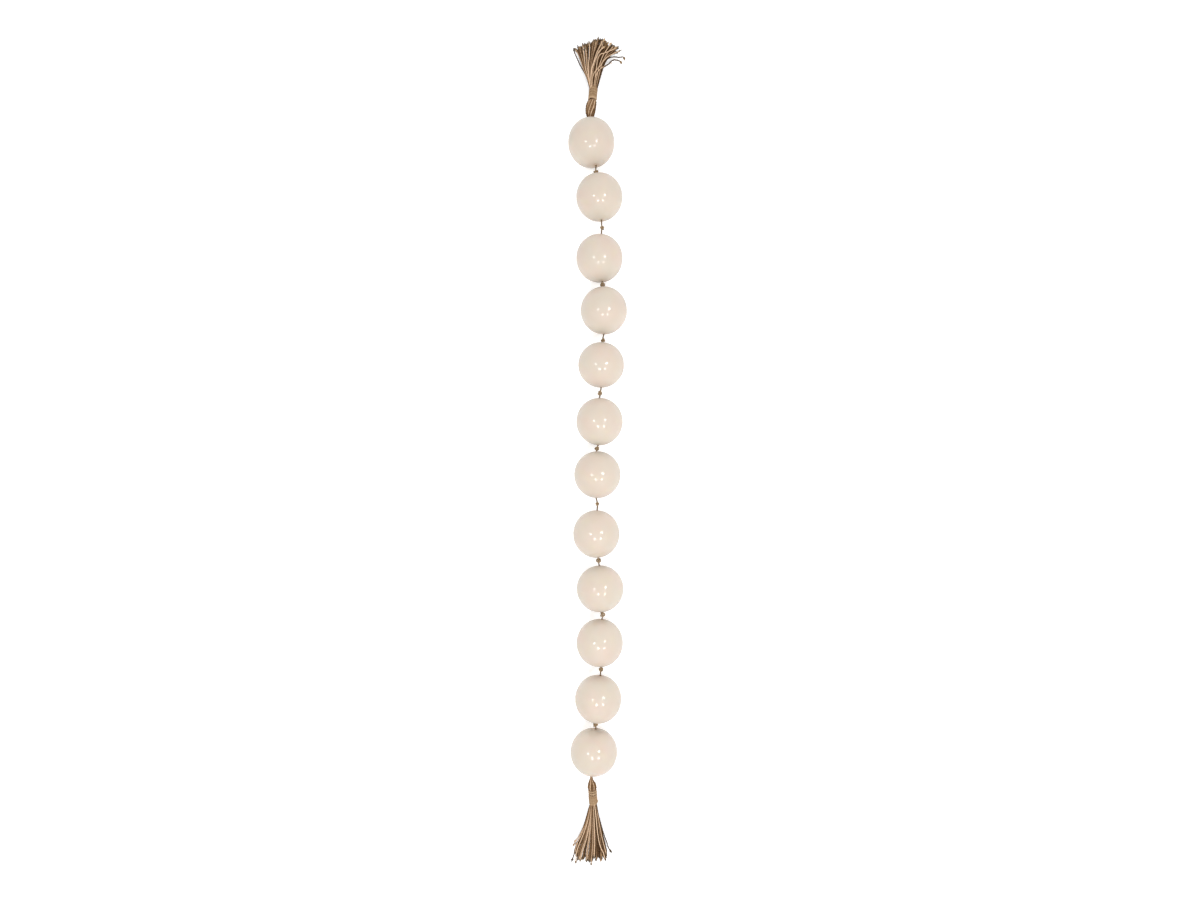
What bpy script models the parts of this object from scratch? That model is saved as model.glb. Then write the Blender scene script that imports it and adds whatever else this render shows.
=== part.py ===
"""Ball garland laid out straight on a flat surface.

Lacquered balls are threaded on one jute string, which is knotted in every gap between two balls. At each end
the string goes into a tassel: jute strands doubled over into a head, bound round the neck, with a fanned skirt
that comes down to the surface.

Frame: metres, +Z up, +Y along the garland, +X across it. The origin is the middle of the garland's box, at the
surface that it lies on. Tables are in millimetres.
"""

import math
import random

import bmesh
import bpy
from mathutils import Matrix, Vector

MM = 0.001

# Driving dimensions
BALL_DIAMETER = 76.0 * MM
BALL_SINK = 0.4 * MM            # depth of the small flat spot that a ball rests on
TWINE_DIAMETER = 2.6 * MM
FIT_GAP = 0.3 * MM              # gap kept between two pieces that touch
BORE_DIAMETER = TWINE_DIAMETER + 1.0 * MM
BORE_OVERRUN = 1.3              # length of a bore's cutter as a share of the way between its mouths
FIRST_BALL_Y = 503.2 * MM       # centre of the ball next to the top tassel

BALL_RADIUS = BALL_DIAMETER / 2
TWINE_RADIUS = TWINE_DIAMETER / 2
STRING_HEIGHT = BALL_RADIUS - BALL_SINK

# Facets
BALL_SIDES = 20
BALL_RINGS = 10
BORE_SIDES = 12
BINDING_SIDES = 14
AXIS_MERGE = 1e-5               # how close a turned profile's ends lie to its axis where they merge
CAP_MERGE = 1e-6                # how close a loose cap lies to the rim that it is welded to

# One row for each ball, from the top tassel down, in millimetres:
# side is the centre's X, gap the clear string before the ball, wide and long its diameters across and along the
# string as shares of the ball's diameter, and hole_far and hole_near the X of its hole's two mouths.
BALL_COLUMNS = ("side", "gap", "wide", "long", "hole_far", "hole_near")
BALL_ROWS = (
    (-10.3, 0.0, 1.00, 1.01, -12.3, -2.8),
    (2.9, 13.3, 1.00, 0.99, -1.8, 6.2),
    (3.0, 24.2, 1.00, 1.01, 6.2, 7.7),
    (10.3, 8.7, 1.00, 1.01, 8.7, 10.2),
    (5.8, 14.0, 0.99, 0.97, 7.2, 5.7),
    (3.2, 17.1, 1.00, 1.02, 3.2, 0.7),
    (-0.4, 9.8, 1.00, 1.01, -1.8, -2.3),
    (-2.1, 20.0, 1.00, 1.02, -0.8, 1.2),
    (4.1, 13.0, 1.01, 1.00, 2.7, 8.2),
    (3.5, 11.8, 1.00, 1.02, 7.2, 6.2),
    (1.0, 14.9, 1.00, 1.01, 4.7, -3.8),
    (-6.1, 10.8, 1.01, 0.99, -3.3, -10.8),
)

# One row for each knot: side is its X, below its distance from the ball above it, and width its size across.
KNOT_COLUMNS = ("side", "below", "width")
KNOT_ROWS = (
    (-2.8, 9.2, 9.0),
    (7.2, 12.5, 8.0),
    (8.2, 4.6, 9.0),
    (8.5, 10.2, 8.0),
    (3.9, 9.0, 8.0),
    (-1.3, 5.6, 8.5),
    (-0.3, 9.6, 6.5),
    (1.4, 4.4, 9.0),
    (8.5, 4.0, 9.0),
    (5.5, 5.0, 8.0),
    (-3.3, 4.0, 9.0),
)
KNOT_LENGTH = 6.0 * MM
KNOT_LUMP = 0.16                # how far a knot's two lobes rise, as a share of its radius
KNOT_LUMP_REACH = 0.45          # how far from its middle the lobes reach, as a share of its length
KNOT_TWIST = math.radians(150)  # how far the lobes turn along a knot
# Rings along a knot: place along its length, and radius as a share of the way from the twine to the knot's own.
KNOT_RINGS = ((-0.5, 0.0), (-0.34, 0.78), (0.0, 1.0), (0.34, 0.78), (0.5, 0.0))

# Tassels. Every row is a section across the tassel, in millimetres: along is its distance from the last ball,
# side its centre's X, height its centre's height, and wide and high its half width and half height. A skirt's
# section with no height lies on the surface.
SECTION_COLUMNS = ("along", "side", "height", "wide", "high")
TOP_HEAD = (
    (1.5, -11.9, 37.6, 3.4, 3.4),
    (4.5, -11.9, 37.2, 5.8, 5.6),
    (10.0, -12.0, 36.4, 7.9, 7.6),
    (19.0, -11.5, 34.7, 8.8, 8.4),
    (27.0, -10.5, 32.9, 8.6, 8.2),
    (33.0, -9.3, 31.5, 7.8, 7.6),
    (36.0, -8.6, 30.8, 6.8, 6.8),
    (37.5, -8.4, 30.4, 4.3, 4.3),
    (57.5, -6.9, 25.4, 4.3, 4.3),
)
TOP_SKIRT = (
    (62.0, -6.7, 24.2, 6.9, 5.7),
    (78.0, -6.7, 19.9, 11.0, 5.9),
    (95.0, -6.3, 14.7, 16.0, 5.6),
    (112.0, -6.3, 9.0, 21.0, 4.6),
    (129.0, -4.8, None, 31.0, 2.8),
    (158.0, 0.2, None, 46.0, 2.6),
)
BOTTOM_HEAD = (
    (1.5, -10.6, 37.6, 1.9, 1.9),
    (6.5, -10.2, 36.9, 2.9, 2.9),
    (11.0, -10.3, 36.2, 4.4, 4.3),
    (15.5, -9.2, 35.3, 6.8, 6.5),
    (21.0, -9.1, 34.1, 7.7, 7.4),
    (26.0, -8.9, 32.9, 7.5, 7.3),
    (28.5, -8.6, 32.3, 6.8, 6.8),
    (30.0, -8.4, 31.9, 4.4, 4.4),
    (52.0, -7.2, 26.4, 4.4, 4.4),
)
BOTTOM_SKIRT = (
    (57.0, -7.3, 25.1, 6.6, 5.8),
    (75.0, -7.7, 20.2, 10.0, 6.0),
    (93.0, -8.1, 14.9, 14.0, 5.6),
    (112.0, -9.9, 8.9, 20.0, 4.6),
    (131.0, -12.1, None, 26.0, 2.8),
    (168.0, -13.3, None, 29.5, 2.6),
)
STRAND_COLUMNS = 14             # strands side by side in one layer
STRAND_LAYERS = 3
LAYER_STAGGER = 0.5             # how far each second layer stands aside, as a share of the space between strands
STRAND_WIDTH = 2.4 * MM
STRAND_CROWD = 0.78             # share of the space between its neighbours that a strand fills where they crowd
HEAD_RIDGE = 0.05               # rise of the doubled strands round the head
WANDER = 0.18                   # how far a strand strays from its row, as a share of the pitch
TOP_EDGE_SHORT = 0.7            # how much of the skirt's last stretch its outermost strands lack
BOTTOM_EDGE_SHORT = 0.3
LENGTH_SPREAD = 0.25            # uneven ends of the strands, as a share of the skirt's last stretch
# Strands that stray at the skirt's edge. For each (column, layer), the along, side and height of its last three
# sections; with no height it lies on the surface there.
TOP_STRAYS = {
    (13, 1): ((106.0, 19.2, 10.5), (118.0, 30.7, 4.5), (112.5, 43.2, None)),
    (13, 0): ((112.0, 17.2, 4.4), (122.0, 29.7, None), (118.0, 46.1, None)),
    (0, 0): ((106.0, -30.3, 6.0), (120.0, -35.6, None), (133.0, -40.7, None)),
}
BOTTOM_STRAYS = {
    (13, 1): ((112.0, 12.3, 8.8), (129.0, 16.7, 3.2), (142.0, 22.5, None)),
    (0, 0): ((112.0, -31.8, 4.4), (124.0, -39.3, None), (134.5, -43.8, None)),
    (0, 1): ((112.0, -29.8, 8.9), (131.0, -39.1, 3.4), (154.0, -44.5, None)),
}

BINDING_RIDGE = 0.9 * MM        # depth of the groove between two turns
BINDING_KNOT = 2.2 * MM         # rise of the small knot on the bottom binding

COLORS = {
    "lacquer": ((0.80, 0.71, 0.62, 1.0), 0.16),
    "twine": ((0.40, 0.27, 0.17, 1.0), 0.9),
    "strands": ((0.45, 0.31, 0.19, 1.0), 0.9),
    "winding": ((0.36, 0.24, 0.14, 1.0), 0.9),
}


def rows(columns, table):
    """The table's rows as dictionaries that are read by column name."""
    return [dict(zip(columns, row)) for row in table]


def clear_scene():
    for obj in list(bpy.data.objects):
        bpy.data.objects.remove(obj, do_unlink=True)


def new_collection(name):
    group = bpy.data.collections.new(name)
    bpy.context.scene.collection.children.link(group)
    return group


def make_material(name):
    color, roughness = COLORS[name]
    material = bpy.data.materials.new(name)
    material.use_nodes = True
    shader = material.node_tree.nodes["Principled BSDF"]
    shader.inputs["Base Color"].default_value = color
    shader.inputs["Roughness"].default_value = roughness
    shader.inputs["Metallic"].default_value = 0.0
    return material


def add_object(name, data, group, material=None):
    obj = bpy.data.objects.new(name, data)
    group.objects.link(obj)
    if material:
        obj.data.materials.append(material)
    return obj


def mesh_from(bm, name):
    bmesh.ops.recalc_face_normals(bm, faces=bm.faces)
    mesh = bpy.data.meshes.new(name)
    bm.to_mesh(mesh)
    bm.free()
    return mesh


def evaluated_mesh(obj):
    """The object's mesh with its modifiers or its bevel applied, and its loose caps welded."""
    bpy.context.view_layer.update()
    graph = bpy.context.evaluated_depsgraph_get()
    mesh = bpy.data.meshes.new_from_object(obj.evaluated_get(graph))
    bm = bmesh.new()
    bm.from_mesh(mesh)
    bmesh.ops.remove_doubles(bm, verts=bm.verts, dist=CAP_MERGE)
    bmesh.ops.recalc_face_normals(bm, faces=bm.faces)
    bm.to_mesh(mesh)
    bm.free()
    return mesh


def turned(name, profile, sides, group, closed=False):
    """A solid turned about its local Z from a profile of (radius, height) that runs down its outer side."""
    mesh = bpy.data.meshes.new(name)
    verts = [(radius, 0.0, height) for radius, height in profile]
    edges = [(i, i + 1) for i in range(len(verts) - 1)]
    if closed:
        edges.append((len(verts) - 1, 0))
    mesh.from_pydata(verts, edges, [])
    obj = add_object(name, mesh, group)
    screw = obj.modifiers.new("turn", "SCREW")
    screw.axis = "Z"
    screw.angle = 2 * math.pi
    screw.steps = sides
    screw.render_steps = sides
    screw.use_merge_vertices = True
    screw.merge_threshold = AXIS_MERGE
    turned_mesh = evaluated_mesh(obj)
    bpy.data.objects.remove(obj, do_unlink=True)
    turned_mesh.name = name
    return turned_mesh


# Balls

def ball_places():
    """Each ball's row with its centre's Y and its half length along the string, in metres."""
    places = []
    previous = None
    for row in rows(BALL_COLUMNS, BALL_ROWS):
        half = BALL_RADIUS * row["long"]
        if previous is None:
            y = FIRST_BALL_Y
        else:
            y = previous["near_y"] - row["gap"] * MM - half
        row.update(y=y, half=half, far_y=y + half, near_y=y - half)
        places.append(row)
        previous = row
    return places


def ball_profile():
    """Half outline of a ball with its flat spot at height 0, from the top down to the middle of the spot."""
    centre = BALL_RADIUS - BALL_SINK
    last = math.pi - math.acos(centre / BALL_RADIUS)
    points = []
    for i in range(BALL_RINGS + 1):
        angle = last * i / BALL_RINGS
        points.append((BALL_RADIUS * math.sin(angle), centre + BALL_RADIUS * math.cos(angle)))
    points[0] = (0.0, centre + BALL_RADIUS)
    points.append((0.0, 0.0))
    return points


def make_ball(name, row, profile_mesh, parts, cutters, material):
    mesh = profile_mesh.copy()
    shape = Matrix.Diagonal((row["wide"], row["long"], 1.0, 1.0))
    place = Matrix.Translation((row["side"] * MM, row["y"], 0.0))
    mesh.transform(place @ shape)
    ball = add_object(name, mesh, parts, material)
    far = Vector((row["hole_far"] * MM, row["far_y"], STRING_HEIGHT))
    near = Vector((row["hole_near"] * MM, row["near_y"], STRING_HEIGHT))
    axis = far - near
    cutter_mesh = bpy.data.meshes.new(name + "_bore")
    bm = bmesh.new()
    bmesh.ops.create_cone(bm, cap_ends=True, segments=BORE_SIDES, radius1=BORE_DIAMETER / 2,
                          radius2=BORE_DIAMETER / 2, depth=axis.length * BORE_OVERRUN)
    bm.to_mesh(cutter_mesh)
    bm.free()
    turn = Vector((0.0, 0.0, 1.0)).rotation_difference(axis).to_matrix().to_4x4()
    cutter_mesh.transform(Matrix.Translation((far + near) / 2) @ turn)
    cutter = add_object(name + "_bore", cutter_mesh, cutters)
    cutter.hide_render = True
    cutter.display_type = "WIRE"
    bore = ball.modifiers.new("bore", "BOOLEAN")
    bore.operation = "DIFFERENCE"
    bore.object = cutter
    ball.data.shade_smooth()
    return ball


# String

def string_points(balls, knots):
    """Points along the string as (place, radius), from the top tassel to the bottom one, and the knots' centres."""
    points = []
    centres = []
    lead = TOP_HEAD[0][0] * MM - FIT_GAP
    first = balls[0]
    points.append((Vector((first["hole_far"] * MM, first["far_y"] + lead, STRING_HEIGHT)), TWINE_RADIUS))
    for index, ball in enumerate(balls):
        points.append((Vector((ball["hole_far"] * MM, ball["far_y"], STRING_HEIGHT)), TWINE_RADIUS))
        points.append((Vector((ball["hole_near"] * MM, ball["near_y"], STRING_HEIGHT)), TWINE_RADIUS))
        if index == len(knots):
            break
        knot = knots[index]
        centre = Vector((knot["side"] * MM, ball["near_y"] - knot["below"] * MM, STRING_HEIGHT))
        centres.append(centre)
        full = knot["width"] * MM / 2
        for place, swell in KNOT_RINGS:
            radius = TWINE_RADIUS + (full - TWINE_RADIUS) * swell
            points.append((centre - Vector((0.0, place * KNOT_LENGTH, 0.0)), radius))
    last = balls[-1]
    points.append((Vector((last["hole_near"] * MM, last["near_y"] - lead, STRING_HEIGHT)), TWINE_RADIUS))
    return points, centres


def make_string(balls, parts, material):
    points, centres = string_points(balls, rows(KNOT_COLUMNS, KNOT_ROWS))
    curve = bpy.data.curves.new("string", "CURVE")
    curve.dimensions = "3D"
    curve.bevel_depth = 1.0
    curve.bevel_resolution = 2
    curve.use_fill_caps = True
    spline = curve.splines.new("POLY")
    spline.points.add(len(points) - 1)
    for point, (place, radius) in zip(spline.points, points):
        point.co = (*place, 1.0)
        point.radius = radius
    guide = add_object("string_guide", curve, parts)
    mesh = evaluated_mesh(guide)
    bpy.data.objects.remove(guide, do_unlink=True)
    for number, centre in enumerate(centres):
        raise_knot(mesh, centre, number)
    mesh.materials.clear()
    string = add_object("string", mesh, parts, material)
    string.data.shade_smooth()
    return string


def raise_knot(mesh, centre, number):
    """Raise two twisted lobes, the bights of an overhand knot, on the string's swelling at centre."""
    for vert in mesh.vertices:
        away = vert.co - centre
        if abs(away.y) > KNOT_LUMP_REACH * KNOT_LENGTH:
            continue
        angle = math.atan2(away.z, away.x)
        lobes = math.cos(2 * angle + number + KNOT_TWIST * away.y / KNOT_LENGTH)
        scale = 1.0 + KNOT_LUMP * lobes
        vert.co.x = centre.x + away.x * scale
        vert.co.z = centre.z + away.z * scale


# Tassels

def disc(u, v):
    """A place in the square from -1 to 1 carried to the unit disc."""
    return u * math.sqrt(1 - v * v / 2), v * math.sqrt(1 - u * u / 2)


def across_frame(tangent, heading):
    """The sideways and upward unit vectors across a tassel that runs along tangent."""
    side = Vector((abs(tangent.y), -tangent.x * heading, 0.0)).normalized()
    return side, side.cross(tangent) * heading


def section_places(table, pole_y, heading):
    """The table's rows with their centres, and with the sideways and upward vectors across the tassel."""
    sections = rows(SECTION_COLUMNS, table)
    for row in sections:
        row["centre"] = Vector((row["side"] * MM, pole_y + heading * row["along"] * MM, row["height"] * MM))
    neck = (sections[-1]["centre"] - sections[-2]["centre"]).normalized()
    for i, row in enumerate(sections):
        before = sections[max(i - 1, 0)]["centre"]
        after = sections[min(i + 1, len(sections) - 1)]["centre"]
        tangent = (after - before).normalized() if i < len(sections) - 2 else neck
        row["across"], row["up"] = across_frame(tangent, heading)
    return sections


def new_partners(created, known):
    """For each newly extruded vertex, what was known of the vertex that it came from."""
    found = {}
    for vert in created:
        for edge in vert.link_edges:
            origin = edge.other_vert(vert)
            if origin in known:
                found[vert] = known[origin]
                break
    return found


def build_head(bm, sections):
    """A grid across the neck's end, and rings from its edge back over the neck and the head to the string."""
    grid = bmesh.ops.create_grid(bm, x_segments=STRAND_COLUMNS, y_segments=STRAND_LAYERS, size=1.0)
    square = {vert: (vert.co.x, vert.co.y) for vert in grid["verts"]}
    end = sections[-1]
    for vert, (u, v) in square.items():
        across, up = disc(u, v)
        vert.co = end["centre"] + end["across"] * across * end["wide"] * MM + end["up"] * up * end["high"] * MM
    cells = list(bm.faces)
    edge_loop = [edge for edge in bm.edges if edge.is_boundary]
    rim = {vert for edge in edge_loop for vert in edge.verts}
    order = sorted(rim, key=lambda vert: math.atan2(square[vert][1], square[vert][0]))
    known = {vert: (disc(*square[vert]), number) for number, vert in enumerate(order)}
    for row in reversed(sections[:-1]):
        made = bmesh.ops.extrude_edge_only(bm, edges=edge_loop)["geom"]
        created = [item for item in made if isinstance(item, bmesh.types.BMVert)]
        edge_loop = [item for item in made if isinstance(item, bmesh.types.BMEdge)]
        partners = new_partners(created, known)
        for vert, ((u, v), number) in partners.items():
            reach = math.hypot(u, v)
            ridge = (1.0 + HEAD_RIDGE * (1 if number % 2 else -1)) / reach
            if row is sections[-2]:
                ridge = 1.0 / reach
            offset = row["across"] * u * row["wide"] * MM + row["up"] * v * row["high"] * MM
            vert.co = row["centre"] + offset * ridge
        known = partners
    bmesh.ops.contextual_create(bm, geom=edge_loop)
    return cells, square


def strand_path(column, layer, skirt, noise):
    """Centres of one strand's sections, in metres, from the neck outwards."""
    stagger = LAYER_STAGGER * (layer % 2 - 0.5)
    place = (column + stagger) * 2 / (STRAND_COLUMNS - 1) - 1
    level = layer - (STRAND_LAYERS - 1) / 2
    sections = skirt["rows"]
    spots = []
    drift = 0.0
    for number, row in enumerate(sections):
        drift += (noise.random() - 0.5) * WANDER * number / (len(sections) - 1)
        side = row["side"] + place * row["wide"] + drift * row["pitch"]
        spots.append((row["along"], side, row["middle"] + level * row["high"]))
    reach = (1.0 - skirt["edge_short"] * place * place) * (1.0 - LENGTH_SPREAD * noise.random())
    spots[-1] = tuple(start + (end - start) * reach for start, end in zip(*spots[-2:]))
    stray = skirt["strays"].get((column, layer), ())
    for number, (along, side, height) in enumerate(stray, start=len(sections) - len(stray)):
        spots[number] = (along, side, sections[number]["thick"] / 2 if height is None else height)
    return [Vector((side * MM, skirt["pole_y"] + skirt["heading"] * along * MM, height * MM))
            for along, side, height in spots]


def strand_section(centres, number, skirt):
    """The half width and half height vectors across a strand at one of its sections."""
    row = skirt["rows"][number]
    tangent = Vector((0.0, skirt["heading"], 0.0))
    if number:
        tangent = (centres[min(number + 1, len(centres) - 1)] - centres[number - 1]).normalized()
    side, up = across_frame(tangent, skirt["heading"])
    half_width = min(STRAND_WIDTH, STRAND_CROWD * row["pitch"] * MM) / 2
    return side * half_width, up * row["thick"] / 2 * MM


def skirt_plan(table, edge_short, strays, pole_y, heading):
    """The skirt's sections with the sizes that its strands take there, in millimetres, and where it stands."""
    sections = rows(SECTION_COLUMNS, table)
    for row in sections:
        row["pitch"] = 2 * row["wide"] / (STRAND_COLUMNS - 1)
        row["thick"] = STRAND_CROWD * row["high"]
        row["middle"] = row["height"]
        if row["height"] is None:
            row["middle"] = row["high"] * (STRAND_LAYERS - 1) / 2 + row["thick"] / 2
    return {"rows": sections, "edge_short": edge_short, "strays": strays, "pole_y": pole_y, "heading": heading}


def split_roots(bm, face, origins, square):
    """Halve the sides of a strand's first stretch, so that neighbours that share a root edge part cleanly."""
    for edge in face.edges:
        low, high = sorted(edge.verts, key=lambda vert: square[origins[vert]])
        bmesh.ops.connect_verts(bm, verts=[origins[high], low])


def build_skirt(bm, cells, square, skirt, seed):
    """Grow a four-sided strand from each cell of the grid, one extrusion for each section of the skirt."""
    noise = random.Random(seed)
    owners = {}
    for cell in cells:
        u = sum(square[vert][0] for vert in cell.verts) / 4
        v = sum(square[vert][1] for vert in cell.verts) / 4
        column = round((u + 1) * STRAND_COLUMNS / 2 - 0.5)
        layer = round((v + 1) * STRAND_LAYERS / 2 - 0.5)
        corners = {vert: (math.copysign(1, square[vert][0] - u), math.copysign(1, square[vert][1] - v))
                   for vert in cell.verts}
        owners[(column, layer)] = (cell, corners)
    for key in sorted(owners):
        face, corners = owners[key]
        centres = strand_path(*key, skirt, noise)
        for number, centre in enumerate(centres):
            origins = {vert: vert for vert in face.verts}
            face = bmesh.ops.extrude_discrete_faces(bm, faces=[face])["faces"][0]
            corners = new_partners(face.verts, corners)
            if number == 0:
                split_roots(bm, face, new_partners(face.verts, origins), square)
            across, up = strand_section(centres, number, skirt)
            for vert, (left, low) in corners.items():
                vert.co = centre + across * left + up * low


def make_tassel(name, head, skirt_table, edge_short, strays, pole_y, heading, seed, parts, material):
    sections = section_places(head, pole_y, heading)
    skirt = skirt_plan(skirt_table, edge_short, strays, pole_y, heading)
    bm = bmesh.new()
    cells, square = build_head(bm, sections)
    build_skirt(bm, cells, square, skirt, seed)
    add_object(name, mesh_from(bm, name), parts, material)
    return sections


# Bindings

def binding_profile(radius, length):
    """A closed ring profile: grooved turns down the outer side, and a plain wall up the inner side."""
    turns = round(length / TWINE_DIAMETER)
    pitch = length / turns
    outer = radius + TWINE_DIAMETER
    points = []
    for turn in range(turns):
        top = length - turn * pitch
        points.append((outer - BINDING_RIDGE, top))
        points.append((outer, top - pitch / 2))
    points.append((outer - BINDING_RIDGE, 0.0))
    points.append((radius, 0.0))
    points.append((radius, length))
    return points


def make_binding(name, sections, parts, material, knot_turn=None):
    """The wound binding that fills the neck between its two end sections."""
    start, end = sections[-2], sections[-1]
    axis = end["centre"] - start["centre"]
    length = axis.length - 2 * FIT_GAP
    bore = start["wide"] * MM + FIT_GAP
    bore /= math.cos(math.pi / BINDING_SIDES)
    mesh = turned(name, binding_profile(bore, length), BINDING_SIDES, parts, closed=True)
    if knot_turn is not None:
        raise_binding_knot(mesh, bore, length, knot_turn)
    base = start["centre"] + axis.normalized() * FIT_GAP
    frame = Matrix((start["across"], start["up"], start["across"].cross(start["up"]))).transposed()
    if frame.col[2].dot(axis) < 0:
        frame.col[1] = -frame.col[1]
        frame.col[2] = -frame.col[2]
    mesh.transform(Matrix.Translation(base) @ frame.to_4x4())
    add_object(name, mesh, parts, material)


def raise_binding_knot(mesh, bore, length, knot_turn):
    """Raise the small knot that ends the winding, on the binding's +X side."""
    middle = length - (knot_turn + 0.5) * TWINE_DIAMETER
    for vert in mesh.vertices:
        radius = math.hypot(vert.co.x, vert.co.y)
        if radius < bore + TWINE_RADIUS / 2:
            continue
        angle = abs(math.atan2(vert.co.y, vert.co.x))
        near = (1 - min(abs(vert.co.z - middle) / TWINE_DIAMETER, 1)) * max(math.cos(2 * angle), 0)
        if angle < math.pi / 4:
            scale = 1 + near * BINDING_KNOT / radius
            vert.co.x *= scale
            vert.co.y *= scale


def main():
    clear_scene()
    parts = new_collection("ball_garland")
    cutters = new_collection("cutters")
    lacquer = make_material("lacquer")
    twine = make_material("twine")
    strands = make_material("strands")
    winding = make_material("winding")

    balls = ball_places()
    profile_mesh = turned("ball_profile", ball_profile(), BALL_SIDES, parts)
    for number, row in enumerate(balls, start=1):
        make_ball("ball_%02d" % number, row, profile_mesh, parts, cutters, lacquer)
    bpy.data.meshes.remove(profile_mesh)
    make_string(balls, parts, twine)

    top_pole = balls[0]["far_y"]
    bottom_pole = balls[-1]["near_y"]
    top_sections = make_tassel("tassel_top", TOP_HEAD, TOP_SKIRT, TOP_EDGE_SHORT, TOP_STRAYS, top_pole, 1, 5,
                               parts, strands)
    bottom_sections = make_tassel("tassel_bottom", BOTTOM_HEAD, BOTTOM_SKIRT, BOTTOM_EDGE_SHORT, BOTTOM_STRAYS,
                                  bottom_pole, -1, 8, parts, strands)
    make_binding("binding_top", top_sections, parts, winding)
    make_binding("binding_bottom", bottom_sections, parts, winding, knot_turn=1)


main()
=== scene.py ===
"""Ball garland laid out straight: glossy balls on knotted jute twine, a bound jute tassel at each end."""

import math
import random
from types import SimpleNamespace

import bmesh
import bpy
from bpy.props import FloatProperty, FloatVectorProperty, IntProperty, PointerProperty
from mathutils import Matrix, Quaternion, Vector


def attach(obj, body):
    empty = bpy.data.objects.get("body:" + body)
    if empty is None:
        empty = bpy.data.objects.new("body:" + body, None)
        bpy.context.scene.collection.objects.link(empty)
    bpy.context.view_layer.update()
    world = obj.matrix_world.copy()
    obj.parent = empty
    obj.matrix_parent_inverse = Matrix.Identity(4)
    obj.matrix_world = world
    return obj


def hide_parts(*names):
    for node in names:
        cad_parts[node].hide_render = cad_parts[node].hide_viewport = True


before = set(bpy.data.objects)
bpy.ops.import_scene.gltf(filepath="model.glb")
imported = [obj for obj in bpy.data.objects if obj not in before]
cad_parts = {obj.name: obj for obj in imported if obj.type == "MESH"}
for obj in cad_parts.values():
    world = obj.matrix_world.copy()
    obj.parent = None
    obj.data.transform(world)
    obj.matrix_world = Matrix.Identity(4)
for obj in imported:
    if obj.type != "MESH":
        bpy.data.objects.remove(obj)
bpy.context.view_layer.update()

bl_info = {
    "name": "Ball Garland",
    "version": (1, 0, 0),
    "blender": (4, 5, 0),
    "location": "3D View > Sidebar > Garland",
    "description": "Glossy balls on knotted jute twine with a bound tassel at each end",
    "category": "Object",
}

MM = 0.001
UP = Vector((0.0, 0.0, 1.0))

# The camera looks straight down. A pixel of the photograph is read with the camera's own lens.
CAMERA_PLACE = Vector((3.9, -49.4, 1184.8)) * MM
SENSOR_WIDTH = 36.0
PHOTO_WIDTH = 1200
PHOTO_FOCAL = 700.0
PHOTO_AXIS = (600.0, 480.0)
PHOTO_MIDDLE_Y = 450.0

# Balls and string, as in the part's source. The tables are in millimetres, but wide and long are shares of
# the radius.
BALL_RADIUS = 38.0 * MM
BALL_SINK = 0.4 * MM
BORE_RADIUS = 1.8 * MM
TWINE_RADIUS = 1.3 * MM
FIT_GAP = 0.3 * MM
FIRST_BALL_Y = 503.2 * MM
STRING_HEIGHT = BALL_RADIUS - BALL_SINK
BALL_COLUMNS = ("side", "gap", "wide", "long", "hole_far", "hole_near")
BALL_ROWS = (
    (-10.3, 0.0, 1.00, 1.01, -12.3, -2.8),
    (2.9, 13.3, 1.00, 0.99, -1.8, 6.2),
    (3.0, 24.2, 1.00, 1.01, 6.2, 7.7),
    (10.3, 8.7, 1.00, 1.01, 8.7, 10.2),
    (5.8, 14.0, 0.99, 0.97, 7.2, 5.7),
    (3.2, 17.1, 1.00, 1.02, 3.2, 0.7),
    (-0.4, 9.8, 1.00, 1.01, -1.8, -2.3),
    (-2.1, 20.0, 1.00, 1.02, -0.8, 1.2),
    (4.1, 13.0, 1.01, 1.00, 2.7, 8.2),
    (3.5, 11.8, 1.00, 1.02, 7.2, 6.2),
    (1.0, 14.9, 1.00, 1.01, 4.7, -3.8),
    (-6.1, 10.8, 1.01, 0.99, -3.3, -10.8),
)
# Rings of a mouth's rounding: how far each stands off the bore and lies below the skin, as shares of the lip
LIP_RINGS = ((1.3, 0.0), (0.4, 0.3), (0.0, 1.0))
POLE_SHARE = 0.9999              # a vertex farther out than this share of the radius is a pole
BORE_CUTS = 3
SHARP_ANGLE = math.radians(40)

# side, below and width as in the part's source. turn rolls the knot about the string, in degrees, and squeeze
# is how short it is drawn along the string.
KNOT_COLUMNS = ("side", "below", "width", "turn", "squeeze")
KNOT_ROWS = (
    (-2.8, 9.2, 9.0, 0, 0.3),
    (7.2, 12.5, 8.0, 25, 0.42),
    (8.2, 4.6, 9.0, 170, 0.38),
    (8.5, 10.2, 8.0, -30, 0.42),
    (3.9, 9.0, 8.0, 150, 0.55),
    (-1.3, 5.6, 8.5, 10, 0.4),
    (-0.3, 9.6, 6.5, 200, 0.5),
    (1.4, 4.4, 9.0, -15, 0.45),
    (8.5, 4.0, 9.0, 165, 0.55),
    (5.5, 5.0, 8.0, 20, 0.5),
    (-3.3, 4.0, 9.0, 190, 0.38),
)
KNOT_HALF = 1.55                # half width of the overhand knot's curve, in its own units
KNOT_ASIDE = 0.55               # and how far its middle lies aside

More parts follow.
